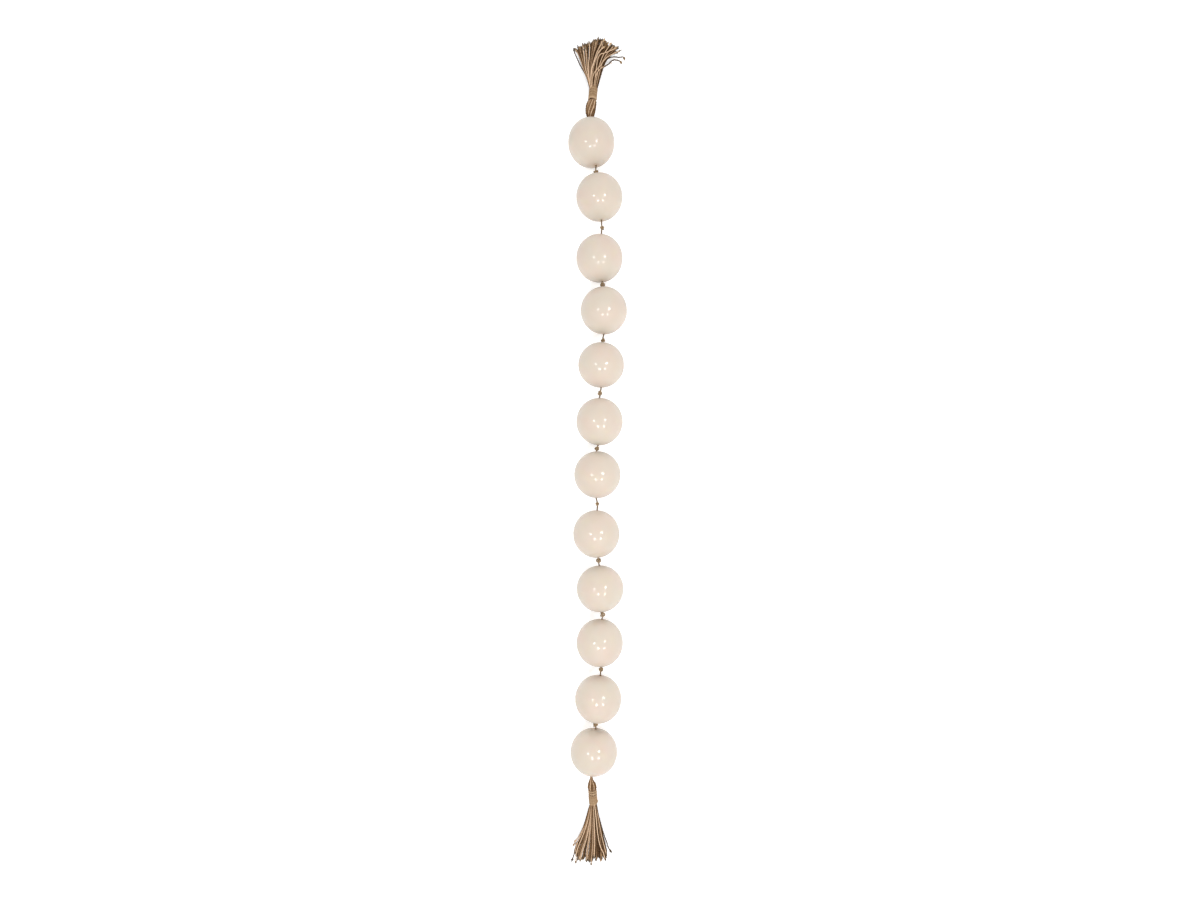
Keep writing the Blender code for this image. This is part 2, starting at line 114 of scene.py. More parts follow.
# Tassels: the sections of the part's source, in millimetres from the last ball
SECTION_COLUMNS = ("along", "side", "height", "wide", "high")
TOP_HEAD = (
    (1.5, -11.9, 37.6, 3.4, 3.4),
    (4.5, -11.9, 37.2, 5.8, 5.6),
    (10.0, -12.0, 36.4, 7.9, 7.6),
    (19.0, -11.5, 34.7, 8.8, 8.4),
    (27.0, -10.5, 32.9, 8.6, 8.2),
    (31.0, -9.6, 32.0, 7.9, 7.7),
    (33.6, -8.9, 31.4, 6.8, 6.8),
    (34.8, -8.7, 31.1, 4.3, 4.3),
    (57.5, -6.9, 25.4, 4.3, 4.3),
)
TOP_SKIRT = (
    (62.0, -6.7, 24.2, 6.9, 5.7),
    (78.0, -6.7, 19.9, 11.0, 5.9),
    (95.0, -6.3, 14.7, 16.0, 5.6),
    (112.0, -6.3, 9.0, 21.0, 4.6),
    (129.0, -4.8, 3.9, 31.0, 2.8),
    (158.0, 0.2, 3.6, 46.0, 2.6),
)
BOTTOM_HEAD = (
    (1.5, -10.6, 37.6, 1.9, 1.9),
    (6.5, -10.2, 36.9, 2.9, 2.9),
    (11.0, -10.3, 36.2, 4.4, 4.3),
    (15.5, -9.2, 35.3, 6.8, 6.5),
    (21.0, -9.1, 34.1, 7.7, 7.4),
    (24.2, -9.0, 33.4, 7.4, 7.2),
    (26.0, -8.9, 32.9, 5.9, 5.9),
    (30.0, -8.4, 31.9, 4.6, 4.6),
    (52.0, -7.2, 26.4, 4.4, 4.4),
)
BOTTOM_SKIRT = (
    (57.0, -7.3, 25.1, 6.6, 5.8),
    (75.0, -7.7, 20.2, 10.0, 6.0),
    (93.0, -8.1, 14.9, 14.0, 5.6),
    (112.0, -9.9, 8.9, 20.0, 4.6),
    (131.0, -12.1, 3.9, 26.0, 2.8),
    (168.0, -13.3, 3.6, 29.5, 2.6),
)

# A tone is how light a strand is, from about -2 for dark to 1 for light; it holds both the strands' own
# colour and painted light and shade.
# A tip is 1 where it is grey and -1 where it is golden. A level is a height in the skirt, from -1 at its
# underside to 1 on top.
CORE_INSET = 1.3 * MM            # how far the head's core lies below its strands; it is painted dark as the shade between them
CORE_SHADE_TONE = -1.2
CORE_ROUND = (1.0,) * 12
HEAD_TONES = (0.4, -0.35)        # of the head's strands by turns
HEAD_TONE_SPREAD = 0.25
HEAD_STRAY_ANGLE = 0.08          # how unevenly they stand, in radians
HEAD_THICKNESS = 0.72            # their half thickness, as a share of a strand's width
HEAD_CROWDING = 1.05             # and at most, as a share of half their space round the head
HEAD_NEAREST = 0.2 * MM          # how near the head's middle they may come
HEAD_STRAIGHT = 0.75             # they run straight at the right side: the least cosine of their angle
HEAD_TUCK = 6.0                  # how far they end inside the binding's end, in mm
HEAD_EDGE_SHADE_FALL = 3               # how fast the painted shade at the head's sides fades towards its middle, as a power
HEAD_PAINTED_TOP_LIGHT = 0.6                 # their painted top light, as a share of the other strands'
GROOVE_EASE = 3.0                # length over which a groove sinks in, in mm
NECK_PLACES = (7.0, 0.5)         # places of two points inside the neck, in mm before its end
NECK_HALF = 3.2 * MM
NECK_RISE = 3.1 * MM
NECK_SHARE = 0.72                # how near the neck's middle a strand's first pixel is drawn
NECK_EASE = 0.25
NECK_SHADE = 1.0                 # how much darker the strands are where the binding draws them in
NECK_REACH = 0.385               # and how far from there that reaches, as a share of their length
TONE_CHANGE = (0.48, 0.68)       # shares of its length between which a strand with two tones changes
SQUEEZED_WIDTH = 0.7             # half width of a strand at most, as a share of the space between two
SQUEEZED_HEIGHT = 0.32           # half height of a squeezed strand, as a share of the skirt's
HIGHEST = 1.6                    # and at most, in mm
RESTING = 0.97                   # lowest height of a strand's middle, as a share of its half height
FRONT_LEVEL = 1.0                # of a strand that comes out of the binding on top
UPPER_LEVEL = 0.8                # and of the other uppermost ones
STRAY_START = 3.0                # place where a stray starts, in mm before the neck's end
FIRST_HEIGHT = 20.0 * MM         # the height of a pixel is first taken to be this
HEIGHT_ROUNDS = 4                # and then corrected so often
SKIRT_CROWN = 0.35               # how much flatter the skirt is at its edge
LOWER_LEVELS = (-1.0, -0.45, 0.1, 0.55)
# Tones of the lower layers, at random within each range: painted shade, darker the deeper a layer lies
LOWER_SHADE_TONES = ((-1.8, -1.2), (-1.6, -0.9), (-1.4, -0.6), (-1.0, 0.0))
LOWER_STRIPE = 0.65              # how much darker and lighter than this the topmost of them are by turns
LOWER_TIPS = (-0.6, -0.3, 0.15, 0.5)
LOWER_COLUMNS = 17
LOWER_STAGGER = 0.38             # how far each layer stands aside, as a share of a column
LOWER_DRIFT = 0.5                # how far a lower strand strays sideways, in pixels
LOWER_WIDTH = 1.35               # how much wider the lower strands are
LOWER_POINTS = 8
GUIDE_POINTS = 9
FAN_POINT = 6                    # point of these at which the lower strands are evenly spaced
CUT_POINTS = 41                  # points of a lower strand before its end is cut
LENGTH_CUT = 0.01                # how much of its length is cut off
LENGTH_SPREAD = 0.055            # and how uneven that is
HOLLOW_SHADE_TONE = -1.4               # painted shade: tone of the lower strands where the upper ones leave a hollow
KNOB_BACK = 1.0 * MM             # place and length of the knob behind a strand's cut end
KNOB_LENGTH = 1.8 * MM
KNOB_SWELL = (1.3, 2.0)
FRAY_RISE = 1.8                  # how fast a strand turns to its tip's colour
SINGLE_FIBRE = 0.3               # a stray thinner than this, as a share, is a fibre that leaves another stray

# Uppermost strands of each skirt as they lie in the photograph, in its pixels, from the binding outwards.
# Each row is (tone, lift, front, points): tone may be a pair for the strand's start and end, lift is how far
# it lies above the skirt in millimetres, and front is 1 where it comes out of the binding on top.
TOP_STRANDS = (
    (0.1, 0.0, 0, ((589.6, 88), (587.6, 80), (585.2, 73.5), (582.9, 67.6), (580.5, 60), (577.8, 53.4),
     (575.2, 49))),
    (-0.9, 0.2, 0, ((590.0, 88), (588.6, 82), (586.6, 76), (584.0, 68), (581.8, 60), (579.8, 53),
     (578.0, 46.7))),
    (0.6, 0.8, 0, ((590.4, 88), (589.0, 80), (586.4, 72), (584.9, 64), (584.2, 57), (583.4, 50),
     (582.6, 44.4))),
    (-0.5, 0.3, 0, ((590.8, 88), (589.4, 79), (587.2, 70), (586.0, 60), (585.4, 51), (585.0, 44.0))),
    (1.0, 1.2, 1, ((590.3, 88), (589.4, 80), (588.5, 72.5), (588.4, 64.5), (589.2, 57.6), (589.6, 49),
     (589.0, 42.5))),
    (-0.3, 0.8, 0, ((591.2, 88), (590.2, 80), (589.6, 72), (590.0, 64.5), (590.9, 59.9), (592.0, 52),
     (593.8, 40.5))),
    (1.1, 1.8, 1, ((591.6, 88), (590.9, 80), (591.0, 76), (592.0, 69), (593.6, 64), (596.3, 57),
     (599.3, 51.3), (604.3, 46.8))),
    (-0.4, 0.8, 0, ((591.8, 88), (591.4, 78), (591.2, 68), (592.6, 58.7), (593.9, 53), (596.5, 46),
     (598.2, 38))),
    (0.3, 0.4, 0, ((592.2, 88), (592.0, 78), (592.6, 66), (594.9, 58), (597.4, 52), (600.2, 46.4),
     (604.4, 39.6))),
    (-1.1, 0.0, 0, ((593.2, 88), (593.6, 78), (596.0, 66), (599.5, 57.6), (602.0, 53.5), (605.2, 48),
     (608.0, 42.8))),
    (0.5, 0.9, 1, ((593.4, 88), (592.4, 79), (594.5, 72.6), (597.2, 69.3), (600.2, 66), (603.4, 61.2),
     (607.6, 57), (612.7, 54), (616.7, 52.2), (620.2, 50.6))),
    (-0.5, 0.4, 0, ((594.0, 88), (594.6, 78), (597.4, 69), (600.5, 64), (603.6, 59.8), (607.6, 55.6),
     (612, 52), (615.8, 49), (618.2, 47.2))),
    (0.6, 1.6, 0, ((594.6, 88), (595.2, 78), (596.4, 68), (597.6, 60), (600.2, 54.6), (604.4, 53.2),
     (609, 51.3), (613.4, 49.4), (616.0, 47.6))),
    (0.5, 0.1, 1, ((595.0, 88), (596.2, 80), (598.0, 72), (599.8, 64), (602.8, 56), (606.2, 50.6),
     (610.9, 43.4))),
    (0.3, 0.0, 1, ((596.2, 88), (597.9, 80), (599.8, 72), (601.8, 64.5), (605.0, 57), (608.8, 51.5),
     (613.9, 45.8))),
    (-1.5, 0.0, 1, ((597.4, 88), (599.5, 80), (601.7, 72.5), (603.8, 66), (606.8, 59.6), (611.2, 55),
     (617.4, 52.4))),
    (0.7, 0.6, 0, ((590.2, 88), (588.0, 78), (585.8, 70), (584.6, 62), (583.8, 55), (583.0, 49.5))),
    (0.6, 0.5, 0, ((590.8, 88), (588.9, 78), (587.3, 68), (586.9, 60), (586.4, 54), (585.4, 48.5))),
    (0.9, 1.2, 0, ((591.8, 88), (590.8, 78), (591.2, 70), (593.4, 63), (595.6, 58.6), (597.8, 55))),
    (0.1, 0.3, 0, ((592.6, 88), (592.4, 78), (593.6, 68), (596.2, 60), (598.8, 54), (601.4, 49),
     (603.0, 43.0))),
)
BOTTOM_STRANDS = (
    ((-1.1, 0.0), 0.0, 0, ((589.8, 804), (587.0, 815), (584.0, 825), (580.6, 833), (577.0, 839.4),
     (573.4, 845.2))),
    (0.4, 0.3, 0, ((590.2, 804), (588.0, 816), (585.2, 826), (582.2, 833), (579.0, 839), (576.2, 847),
     (574.6, 853))),
    (0.8, 0.9, 1, ((590.4, 804), (588.6, 817), (585.6, 828), (582.2, 837), (578.4, 846), (576.2, 854),
     (575.9, 862.4))),
    (-0.4, 0.2, 0, ((591.0, 804), (589.4, 818), (586.8, 830), (583.8, 840), (580.8, 848), (578.5, 855),
     (577.6, 859.6))),
    (0.9, 1.1, 0, ((591.4, 804), (590.2, 818), (588.0, 832), (585.2, 843), (582.2, 852), (580.3, 860.4))),
    (0.5, 0.5, 1, ((591.8, 804), (591.0, 818), (589.4, 833), (587.6, 845), (586.3, 854), (586.4, 861))),
    (-0.7, 0.0, 0, ((592.2, 804), (591.9, 818), (591.1, 834), (590.1, 847), (589.1, 854), (588.4, 860.4))),
    (0.3, 0.4, 0, ((592.7, 804), (593.0, 818), (593.0, 836), (592.5, 848), (591.8, 856), (591.1, 864.6))),
    (0.9, 1.0, 1, ((593.2, 804), (594.0, 818), (594.7, 834), (594.7, 846), (594.2, 857))),
    (-0.9, 0.0, 0, ((593.8, 804), (595.2, 818), (596.5, 832), (596.9, 842), (596.4, 852), (596.0, 860.4))),
    (1.1, 1.6, 1, ((594.5, 804), (595.8, 815), (597.0, 827), (598.4, 838), (600.2, 846), (603.4, 853),
     (604.8, 858.6))),
    (-0.2, 0.2, 0, ((595.2, 804), (596.9, 816), (598.9, 827), (600.4, 838), (601.2, 849), (600.9, 860.6))),
    (0.7, 0.8, 0, ((595.8, 804), (598.0, 816), (600.2, 828), (602.2, 838), (604.8, 848), (606.4, 854))),
    (-1.3, 0.2, 1, ((596.6, 804), (598.6, 816), (601.2, 827), (603.4, 837), (605.6, 846), (606.6, 852),
     (605.2, 860))),
    ((-0.7, 0.5), 0.5, 0, ((590.0, 804), (587.6, 815), (584.6, 825), (581.4, 832.6), (578.4, 837.2),
     (575.0, 841.4))),
    ((-0.5, 0.1), 0.3, 0, ((590.1, 804), (587.8, 816), (585.0, 826), (581.8, 834), (578.8, 840),
     (576.2, 844.4))),
)
# Uppermost strands that don't cross, between which the lower ones lie
TOP_GUIDES = (0, 1, 2, 3, 4, 5, 7, 8, 9, 11, 14, 15)
BOTTOM_GUIDES = (1, 3, 4, 5, 6, 7, 8, 9, 11, 12, 13)
# Those whose tips aren't grey, each with its tip
TOP_PALE_TIPS = {6: -1.0, 8: -1.0, 9: -1.0, 12: -1.0, 13: -1.0}
BOTTOM_PALE_TIPS = {0: 0.0, 9: 0.2, 11: -0.3, 14: 0.0, 15: 0.1}

# Strays that leave the skirt's edge: (tone, thickness as a share of a strand's, tip, points), each point with
# its height above the surface in millimetres.
TOP_STRAYS = (
    ((0.3, -2.2), 1.1, -0.9, ((594.2, 88, 30.5), (594.9, 80, 27.5), (596.7, 74, 24.5), (599.4, 70, 22.2),
     (602.4, 67.6, 20), (605.4, 65.9, 16.5), (608.6, 63.9, 11.5), (611.5, 61.0, 7.5), (614.2, 59.9, 5),
     (617.2, 60.2, 3.5), (619.8, 61.2, 2.2), (621.4, 63.2, 1.4))),
    (0.5, 0.25, 0.0, ((606.6, 65.6, 10), (609.4, 63.9, 8), (612.4, 63.4, 6), (614.8, 62.0, 5),
     (616.4, 60.4, 5.4), (615.0, 59.2, 5.6), (612.6, 59.8, 5.4), (611.2, 61.6, 5.2))),
    (-1.8, 1.05, -0.6, ((598.0, 74, 15), (602.6, 64, 9), (608.6, 58.2, 4.5), (614, 57, 2.2),
     (619, 57.3, 1.4), (623.2, 57, 1.2), (624.4, 59.4, 1.2))),
    (-1.6, 1.1, 1.0, ((588.6, 82, 18), (584.4, 72.8, 10.5), (580.0, 65, 5.5), (577.0, 58.4, 2.2),
     (574.6, 53, 1.3), (573.9, 49.5, 1.2))),
)
BOTTOM_STRAYS = (
    (-1.9, 1.2, 0.7, ((598.6, 816, 18), (601.4, 826, 12), (604.0, 834.5, 7.5), (606.8, 842.4, 4),
     (608.6, 848, 1.8), (611.0, 851.4, 1.2))),
    (-1.5, 1.15, 1.0, ((586.0, 820, 13), (582.2, 832, 7), (578.4, 841, 3), (575.2, 848.4, 1.6),
     (573.9, 854.6, 1.2), (571.9, 860.2, 1.2))),
)

# Turns of each binding: (place along the tassel, radius of the turn, half the twine's thickness, tone), in mm
FINE_TURN = 1.38
FINE_PITCH = 2.4
# Every other fine turn is painted darker: painted shade of the grooves between the turns.
TOP_TURNS = (((36.4, 5.9, 1.7, 0.9),)
             + tuple((39.4 + FINE_PITCH * i, 5.95, FINE_TURN, 0.2 - 0.5 * (i % 2)) for i in range(8)))
BOTTOM_TURNS = (((27.2, 6.0, 1.4, 0.4), (31.2, 5.9, 1.5, 0.7))
                + tuple((35.6 + FINE_PITCH * i, 5.95, FINE_TURN, 0.3 - 0.4 * (i % 2)) for i in range(7)))
# The knot that ties off the bottom winding: its place along the tassel, aside and above, in mm, its share of
# the twine's thickness, its tone and the shape of its lobes
END_KNOT = (46.5, 6.4, 1.2)
END_KNOT_THICKNESS = 0.75
END_KNOT_TONE = 0.1
END_KNOT_ASIDE = 0.5
END_KNOT_SHAPE = Matrix.Diagonal((1.0, 0.8, 1.1))
END_KNOT_TURN = math.radians(35)
END_KNOT_OPENING = 0.5
END_KNOT_POINTS = 24
END_KNOT_STEP = 0.6 * MM

# Sections of twine and strands: the radius at equal steps round, as a share of the full one
FINE_PLY = (1.0, 0.86, 0.66, 0.86) * 3
PLAIN_PLY = (1.0, 0.76, 0.76) * 3
FIBRE_ROUND = (1.0, 1.0, 1.0)
LOWER_ROUND = (1.0, 0.94, 0.86, 1.0, 0.94, 0.86)
LAY_SCALE = 100                  # of the jute's pattern along a strand, for each metre
PAINTED_LIGHT_MIDDLE = 0.5               # share of the way up its side at which a strand has its own tone; painted light above it, painted shade below

# Fibres of a tuft
TUFT_LENGTH = 2.6 * MM
TUFT_REACHES = (0.35, 1.0)       # shares of this that a fibre's length lies between
TUFT_ROOT = 1.5 * MM             # how far back in the strand it starts
TUFT_SPLAY = ((-1, 1), (-1, 1), (-0.5, 0.6))
TUFT_ROUTE = ((0.3, 0.35), (0.7, 0.8), (1.0, 1.0))   # its points: shares of the way ahead and aside
TUFT_TAPER = (1.0, 1.0, 0.8, 0.45)
TUFT_TIPS = (0.8, 1.0, 1.0, 1.0)
TUFT_THICKNESS = (0.24, 0.4)     # half of it, in mm
TUFT_TONE = 0.4                  # how far its tone strays
TUFT_LOWEST = 0.6 * MM

# Patterns: the scale of each, how lengthwise the jute's is drawn out, and how far a tone moves it along
FIBRE_SCALE = 5.5
LENGTHS_SCALE = 1.6
CLOUD_SCALE = 28.0
STRAW_SCALE = 55.0
PEEL_SCALE = 420.0
GRAIN_SCALE = 3.0
LAY_STRETCH = 0.4
TONE_SHIFT = 37.0
# Colours, gloss, and the strength and depth of each bump
JUTE_COLOURS = ("Light", "Middle", "Dark", "Tip", "Golden")
GOLDEN = (0.40, 0.26, 0.13)
TWINE_DARK = (0.07, 0.04, 0.02)
WINDING_DARK = (0.1, 0.05, 0.02)
PALE_TIP = (0.3, 0.27, 0.24)
WHITE = (1.0, 1.0, 1.0, 1.0)
JUTE_GLOSS = {"Specular IOR Level": 0.08}
LACQUER_GLOSS = {
    "Roughness": 0.5, "Specular IOR Level": 0.25, "Coat Weight": 0.65, "Coat Roughness": 0.13,
    "Subsurface Weight": 0.8, "Subsurface Radius": (1.0, 0.8, 0.65), "Subsurface Scale": 15.0 * MM,
}
FLOOR_GLOSS = {
    "Roughness": 0.9, "Specular IOR Level": 0.1, "Emission Color": WHITE, "Emission Strength": 0.3,
}
FLOOR_MIRRORED = (0.4, 0.4, 0.4, 1.0)
FLOOR_GRAIN = 0.99
# strength of the painted reflection of the twine round each hole
MOUTH_REFLECTION_STRENGTH = 0.8
JUTE_BUMP = (0.7, 0.25 * MM)
LACQUER_BUMP = (0.06, 0.2 * MM)

END_HEIGHT = math.radians(35)    # how high the lighter part of the sky stands at each end
END_HALF_WIDTH = math.radians(32)
# Small bright lights that give each ball its four highlights, in metres
SPOT_PLACES = (
    (-0.915, -0.029, 1.819),
    (0.676, 0.127, 1.392),
    (-0.193, -0.674, 1.467),
    (0.624, -0.685, 1.569),
)


# Settings

def length_setting(name, description, default):
    """A length, with its default in millimetres."""
    return FloatProperty(name=name, description=description, default=default * MM, unit="LENGTH", precision=5)


def number_setting(name, description, default, **kind):
    return FloatProperty(name=name, description=description, default=default, **kind)


def count_setting(name, description, default, least=3):
    return IntProperty(name=name, description=description, default=default, min=least, max=128)


def colour_setting(name, description, default):
    return FloatVectorProperty(name=name, description=description, subtype="COLOR", default=default)


# Places

def rows(columns, table):
    """The table's rows as dictionaries that are read by column name."""
    return [dict(zip(columns, row)) for row in table]


def clamp(value, low=0.0, high=1.0):
    return min(max(value, low), high)


def from_photo(x, y, height):
    """The place in the part's frame that a pixel of the photograph shows at this height, in metres."""
    scale = (CAMERA_PLACE.z - height) / PHOTO_FOCAL
    return Vector((CAMERA_PLACE.x + (x - PHOTO_AXIS[0]) * scale,
                   CAMERA_PLACE.y + (PHOTO_AXIS[1] - y) * scale, height))


def smooth_path(points, step):
    """Points about a step apart on a smooth curve through the given ones."""
    ends = [points[0] * 2 - points[1]] + list(points) + [points[-1] * 2 - points[-2]]
    path = []
    for before, start, end, after in zip(ends, ends[1:], ends[2:], ends[3:]):
        count = max(int(round((end - start).length / step)), 1)
        for i in range(count):
            t = i / count
            path.append(0.5 * (2 * start + (end - before) * t
                               + (2 * before - 5 * start + 4 * end - after) * t * t
                               + (3 * start - before - 3 * end + after) * t ** 3))
    path.append(points[-1].copy())
    return path


def even_points(points, count):
    """count points spaced evenly along straight stretches between the given ones."""
    reach = [0.0]
    for before, after in zip(points, points[1:]):
        reach.append(reach[-1] + (after - before).length)
    spaced = []
    stretch = 0
    for i in range(count):
        target = reach[-1] * i / (count - 1)
        while stretch < len(points) - 2 and reach[stretch + 1] < target:
            stretch += 1
        share = (target - reach[stretch]) / (reach[stretch + 1] - reach[stretch])
        spaced.append(points[stretch].lerp(points[stretch + 1], min(share, 1.0)))
    return spaced


def overhand(opening, count):
    """Points through an overhand knot. opening is half of its third lobe, which its ends open, in radians."""
    turns = [math.pi + opening + (2 * math.pi - 2 * opening) * i / count for i in range(count + 1)]
    return [Vector((math.cos(t) - 2 * math.cos(2 * t), math.sin(t) + 2 * math.sin(2 * t), -math.sin(3 * t)))
            for t in turns]


# Cords

class Cordage:
    """The strands of one piece as they are laid: their skin, and the place round and along each strand."""

    def __init__(self):
        self.verts = []
        self.faces = []
        self.lay = []
        self.tones = []
        self.tips = []

    def lay_strand(self, path, widths, section, twist, tones, tips=None, heights=None, upright=False,
                   painted_top_light=0.0):
        """Sweeps the section along the path. widths and heights are half sizes, twist is in radians a metre.
        The last argument is painted light and shade: how much lighter the strand is painted along its top
        than at its sides."""
        count = len(path)
        sides = len(section)
        heights = heights or widths
        tips = tips or [0.0] * count
        first = len(self.verts)
        travelled = 0.0
        across = None
        places = []
        for i, spot in enumerate(path):
            tangent = (path[min(i + 1, count - 1)] - path[max(i - 1, 0)]).normalized()
            if i:
                travelled += (spot - path[i - 1]).length
            if upright:
                across = tangent.cross(UP).normalized()
            elif across is None:
                across = tangent.orthogonal().normalized()
            else:
                across = (across - tangent * across.dot(tangent)).normalized()
            up = across.cross(tangent)
            for side, reach in enumerate(section):
                angle = 2 * math.pi * side / sides + travelled * twist
                outwards = across * math.cos(angle)
                upwards = up * math.sin(angle)
                self.verts.append(spot + outwards * reach * widths[i] + upwards * reach * heights[i])
                # Painted light and shade: lighter where the surface faces up, darker at the sides and
                # underneath.
                self.tones.append(tones[i] + painted_top_light * ((outwards + upwards).z - PAINTED_LIGHT_MIDDLE))
                self.tips.append(tips[i])
            places.append(travelled * LAY_SCALE)
        for i in range(count - 1):
            low = first + i * sides
            for side in range(sides):
                after = (side + 1) % sides
                self.faces.append((low + side, low + after, low + sides + after, low + sides + side))
                u0, u1 = side / sides, (side + 1) / sides
                self.lay.extend((u0, places[i], u1, places[i], u1, places[i + 1], u0, places[i + 1]))
        self.close(first, range(sides - 1, -1, -1), sides, places[0])
        self.close(first + (count - 1) * sides, range(sides), sides, places[-1])

    def close(self, base, order, sides, place):
        """Closes one end of a strand."""
        self.faces.append(tuple(base + side for side in order))
        for side in order:
            self.lay.extend((side / sides, place))

    def tuft(self, end, heading, spread, count, noise, tone, mark):
        """Frayed fibres that splay from a strand's cut end, marked with the strand's tip."""
        for _ in range(count):
            aside = Vector([noise.uniform(*ends) for ends in TUFT_SPLAY]) * spread
            reach = TUFT_LENGTH * noise.uniform(*TUFT_REACHES)
            points = [end - heading * TUFT_ROOT]
            points += [end + heading * reach * ahead + aside * out for ahead, out in TUFT_ROUTE]
            for point in points:
                point.z = max(point.z, TUFT_LOWEST)
            thick = noise.uniform(*TUFT_THICKNESS) * MM
            tones = [tone + noise.uniform(-TUFT_TONE, TUFT_TONE)] * len(points)
            self.lay_strand(points, [thick * share for share in TUFT_TAPER], FIBRE_ROUND, 0.0, tones,
                            [mark * share for share in TUFT_TIPS])

    def piece(self, name, material):
        """The finished piece, with its pattern's coordinates, tones and tips."""
        mesh = bpy.data.meshes.new(name)
        mesh.from_pydata([tuple(vert) for vert in self.verts], [], self.faces)
        mesh.uv_layers.new(name="lay").data.foreach_set("uv", self.lay)
        for attribute, values in (("tone", self.tones), ("tip", self.tips)):
            mesh.attributes.new(attribute, "FLOAT", "POINT").data.foreach_set("value", values)
        mesh.shade_smooth()
        bm = bmesh.new()
        bm.from_mesh(mesh)
        bmesh.ops.recalc_face_normals(bm, faces=bm.faces)
        bm.to_mesh(mesh)
        bm.free()
        mesh.materials.append(material)
        piece = bpy.data.objects.new(name, mesh)
        bpy.context.scene.collection.objects.link(piece)
        return piece


# Materials

def connect(tree, socket, value):
    """Links a socket to value, or sets it where value is a number or a colour."""
    if isinstance(value, bpy.types.NodeSocket):
        tree.links.new(value, socket)
    else:
        socket.default_value = value


def add_node(tree, kind, inputs):
    """A new node of this kind, with its inputs given by name."""
    node = tree.nodes.new("ShaderNode" + kind)
    for name, value in inputs.items():
        connect(tree, node.inputs[name], value)
    return node


def add_mix(tree, factor, first, second):
    """A colour mixed from two, of which either may be a socket."""
    node = tree.nodes.new("ShaderNodeMix")
    node.data_type = "RGBA"
    factor_input = [socket for socket in node.inputs if socket.type == "VALUE"][0]
    colour_inputs = [socket for socket in node.inputs if socket.type == "RGBA"]
    for socket, value in zip([factor_input] + colour_inputs, (factor, first, second)):
        connect(tree, socket, value)
    return [socket for socket in node.outputs if socket.type == "RGBA"][0]


def add_math(tree, operation, *values):
    node = tree.nodes.new("ShaderNodeMath")
    node.operation = operation
    for socket, value in zip(node.inputs, values):
        connect(tree, socket, value)
    return node.outputs[0]


def add_range(tree, value, low, high, new_low, new_high):
    """value carried from the range low to high to the new one, and held at its ends."""
    ends = {"From Min": low, "From Max": high, "To Min": new_low, "To Max": new_high}
    return add_node(tree, "MapRange", {"Value": value, **ends}).outputs["Result"]


def add_noise(tree, place, scale, detail=2.0, roughness=0.5):
    inputs = {"Vector": place, "Scale": scale, "Detail": detail, "Roughness": roughness}
    return add_node(tree, "TexNoise", inputs).outputs["Fac"]


def add_attribute(tree, name):
    node = tree.nodes.new("ShaderNodeAttribute")
    node.attribute_name = name
    return node.outputs["Fac"]


def add_bump(tree, height, strength, distance):
    inputs = {"Height": height, "Strength": strength, "Distance": distance}
    return add_node(tree, "Bump", inputs).outputs["Normal"]


def new_material(name, gloss):
    """A material with its node tree and its shader, set to this gloss."""
    material = bpy.data.materials.new(name)
    material.use_nodes = True
    tree = material.node_tree
    shader = tree.nodes["Principled BSDF"]
    for label, value in gloss.items():
        shader.inputs[label].default_value = value
    return material, tree, shader.inputs


def jute_group():
    """Fibres that run along a strand, with lighter and darker lengths, the strand's tone and its cut tip."""
    group = bpy.data.node_groups.new("Jute Fibre", "ShaderNodeTree")
    for label in JUTE_COLOURS:
        group.interface.new_socket(name=label, in_out="INPUT", socket_type="NodeSocketColor")
    for label, kind in (("Color", "Color"), ("Roughness", "Float"), ("Height", "Float")):
        group.interface.new_socket(name=label, in_out="OUTPUT", socket_type="NodeSocket" + kind)
    light, middle, dark, tip_colour, golden = group.nodes.new("NodeGroupInput").outputs[:len(JUTE_COLOURS)]
    result = group.nodes.new("NodeGroupOutput").inputs
    lay = group.nodes.new("ShaderNodeUVMap")
    lay.uv_map = "lay"
    tone = add_attribute(group, "tone")
    tip = add_attribute(group, "tip")
    split = add_node(group, "SeparateXYZ", {"Vector": lay.outputs["UV"]})
    around = add_math(group, "MULTIPLY", split.outputs["X"], 2 * math.pi)
    along = add_math(group, "MULTIPLY", split.outputs["Y"], LAY_STRETCH)
    own = add_math(group, "MULTIPLY", tone, TONE_SHIFT)
    place = add_node(group, "CombineXYZ", {"X": add_math(group, "COSINE", around),
                                           "Y": add_math(group, "SINE", around),
                                           "Z": add_math(group, "ADD", along, own)}).outputs[0]
    fibres = add_noise(group, place, FIBRE_SCALE, 3.0, 0.6)
    lengths = add_noise(group, place, LENGTHS_SCALE)
    shade = add_math(group, "ADD", add_range(group, lengths, 0.3, 0.7, -0.55, 0.55), tone)
    colour = add_mix(group, add_range(group, shade, -0.15, 1.05, 0.0, 1.0), middle, light)
    colour = add_mix(group, add_range(group, fibres, 0.28, 0.55, 0.5, 0.0), colour, dark)
    colour = add_mix(group, add_range(group, shade, -1.25, -0.2, 0.94, 0.0), colour, dark)
    colour = add_mix(group, add_range(group, tip, 0.0, 1.0, 0.0, 0.8), colour, tip_colour)
    colour = add_mix(group, add_range(group, tip, 0.0, -1.0, 0.0, 0.7), colour, golden)
    connect(group, result["Color"], colour)
    connect(group, result["Roughness"], add_range(group, fibres, 0.3, 0.7, 0.95, 0.7))
    connect(group, result["Height"], fibres)


def jute_material(name, *colours):
    """Jute in its light, middle, dark and tip colours."""
    material, tree, shader = new_material(name, JUTE_GLOSS)
    fibre = tree.nodes.new("ShaderNodeGroup")
    fibre.node_tree = bpy.data.node_groups["Jute Fibre"]
    for label, value in zip(JUTE_COLOURS, (*colours, GOLDEN)):
        fibre.inputs[label].default_value = (*value, 1.0)
    connect(tree, shader["Base Color"], fibre.outputs["Color"])
    connect(tree, shader["Roughness"], fibre.outputs["Roughness"])
    connect(tree, shader["Normal"], add_bump(tree, fibre.outputs["Height"], *JUTE_BUMP))
    return material


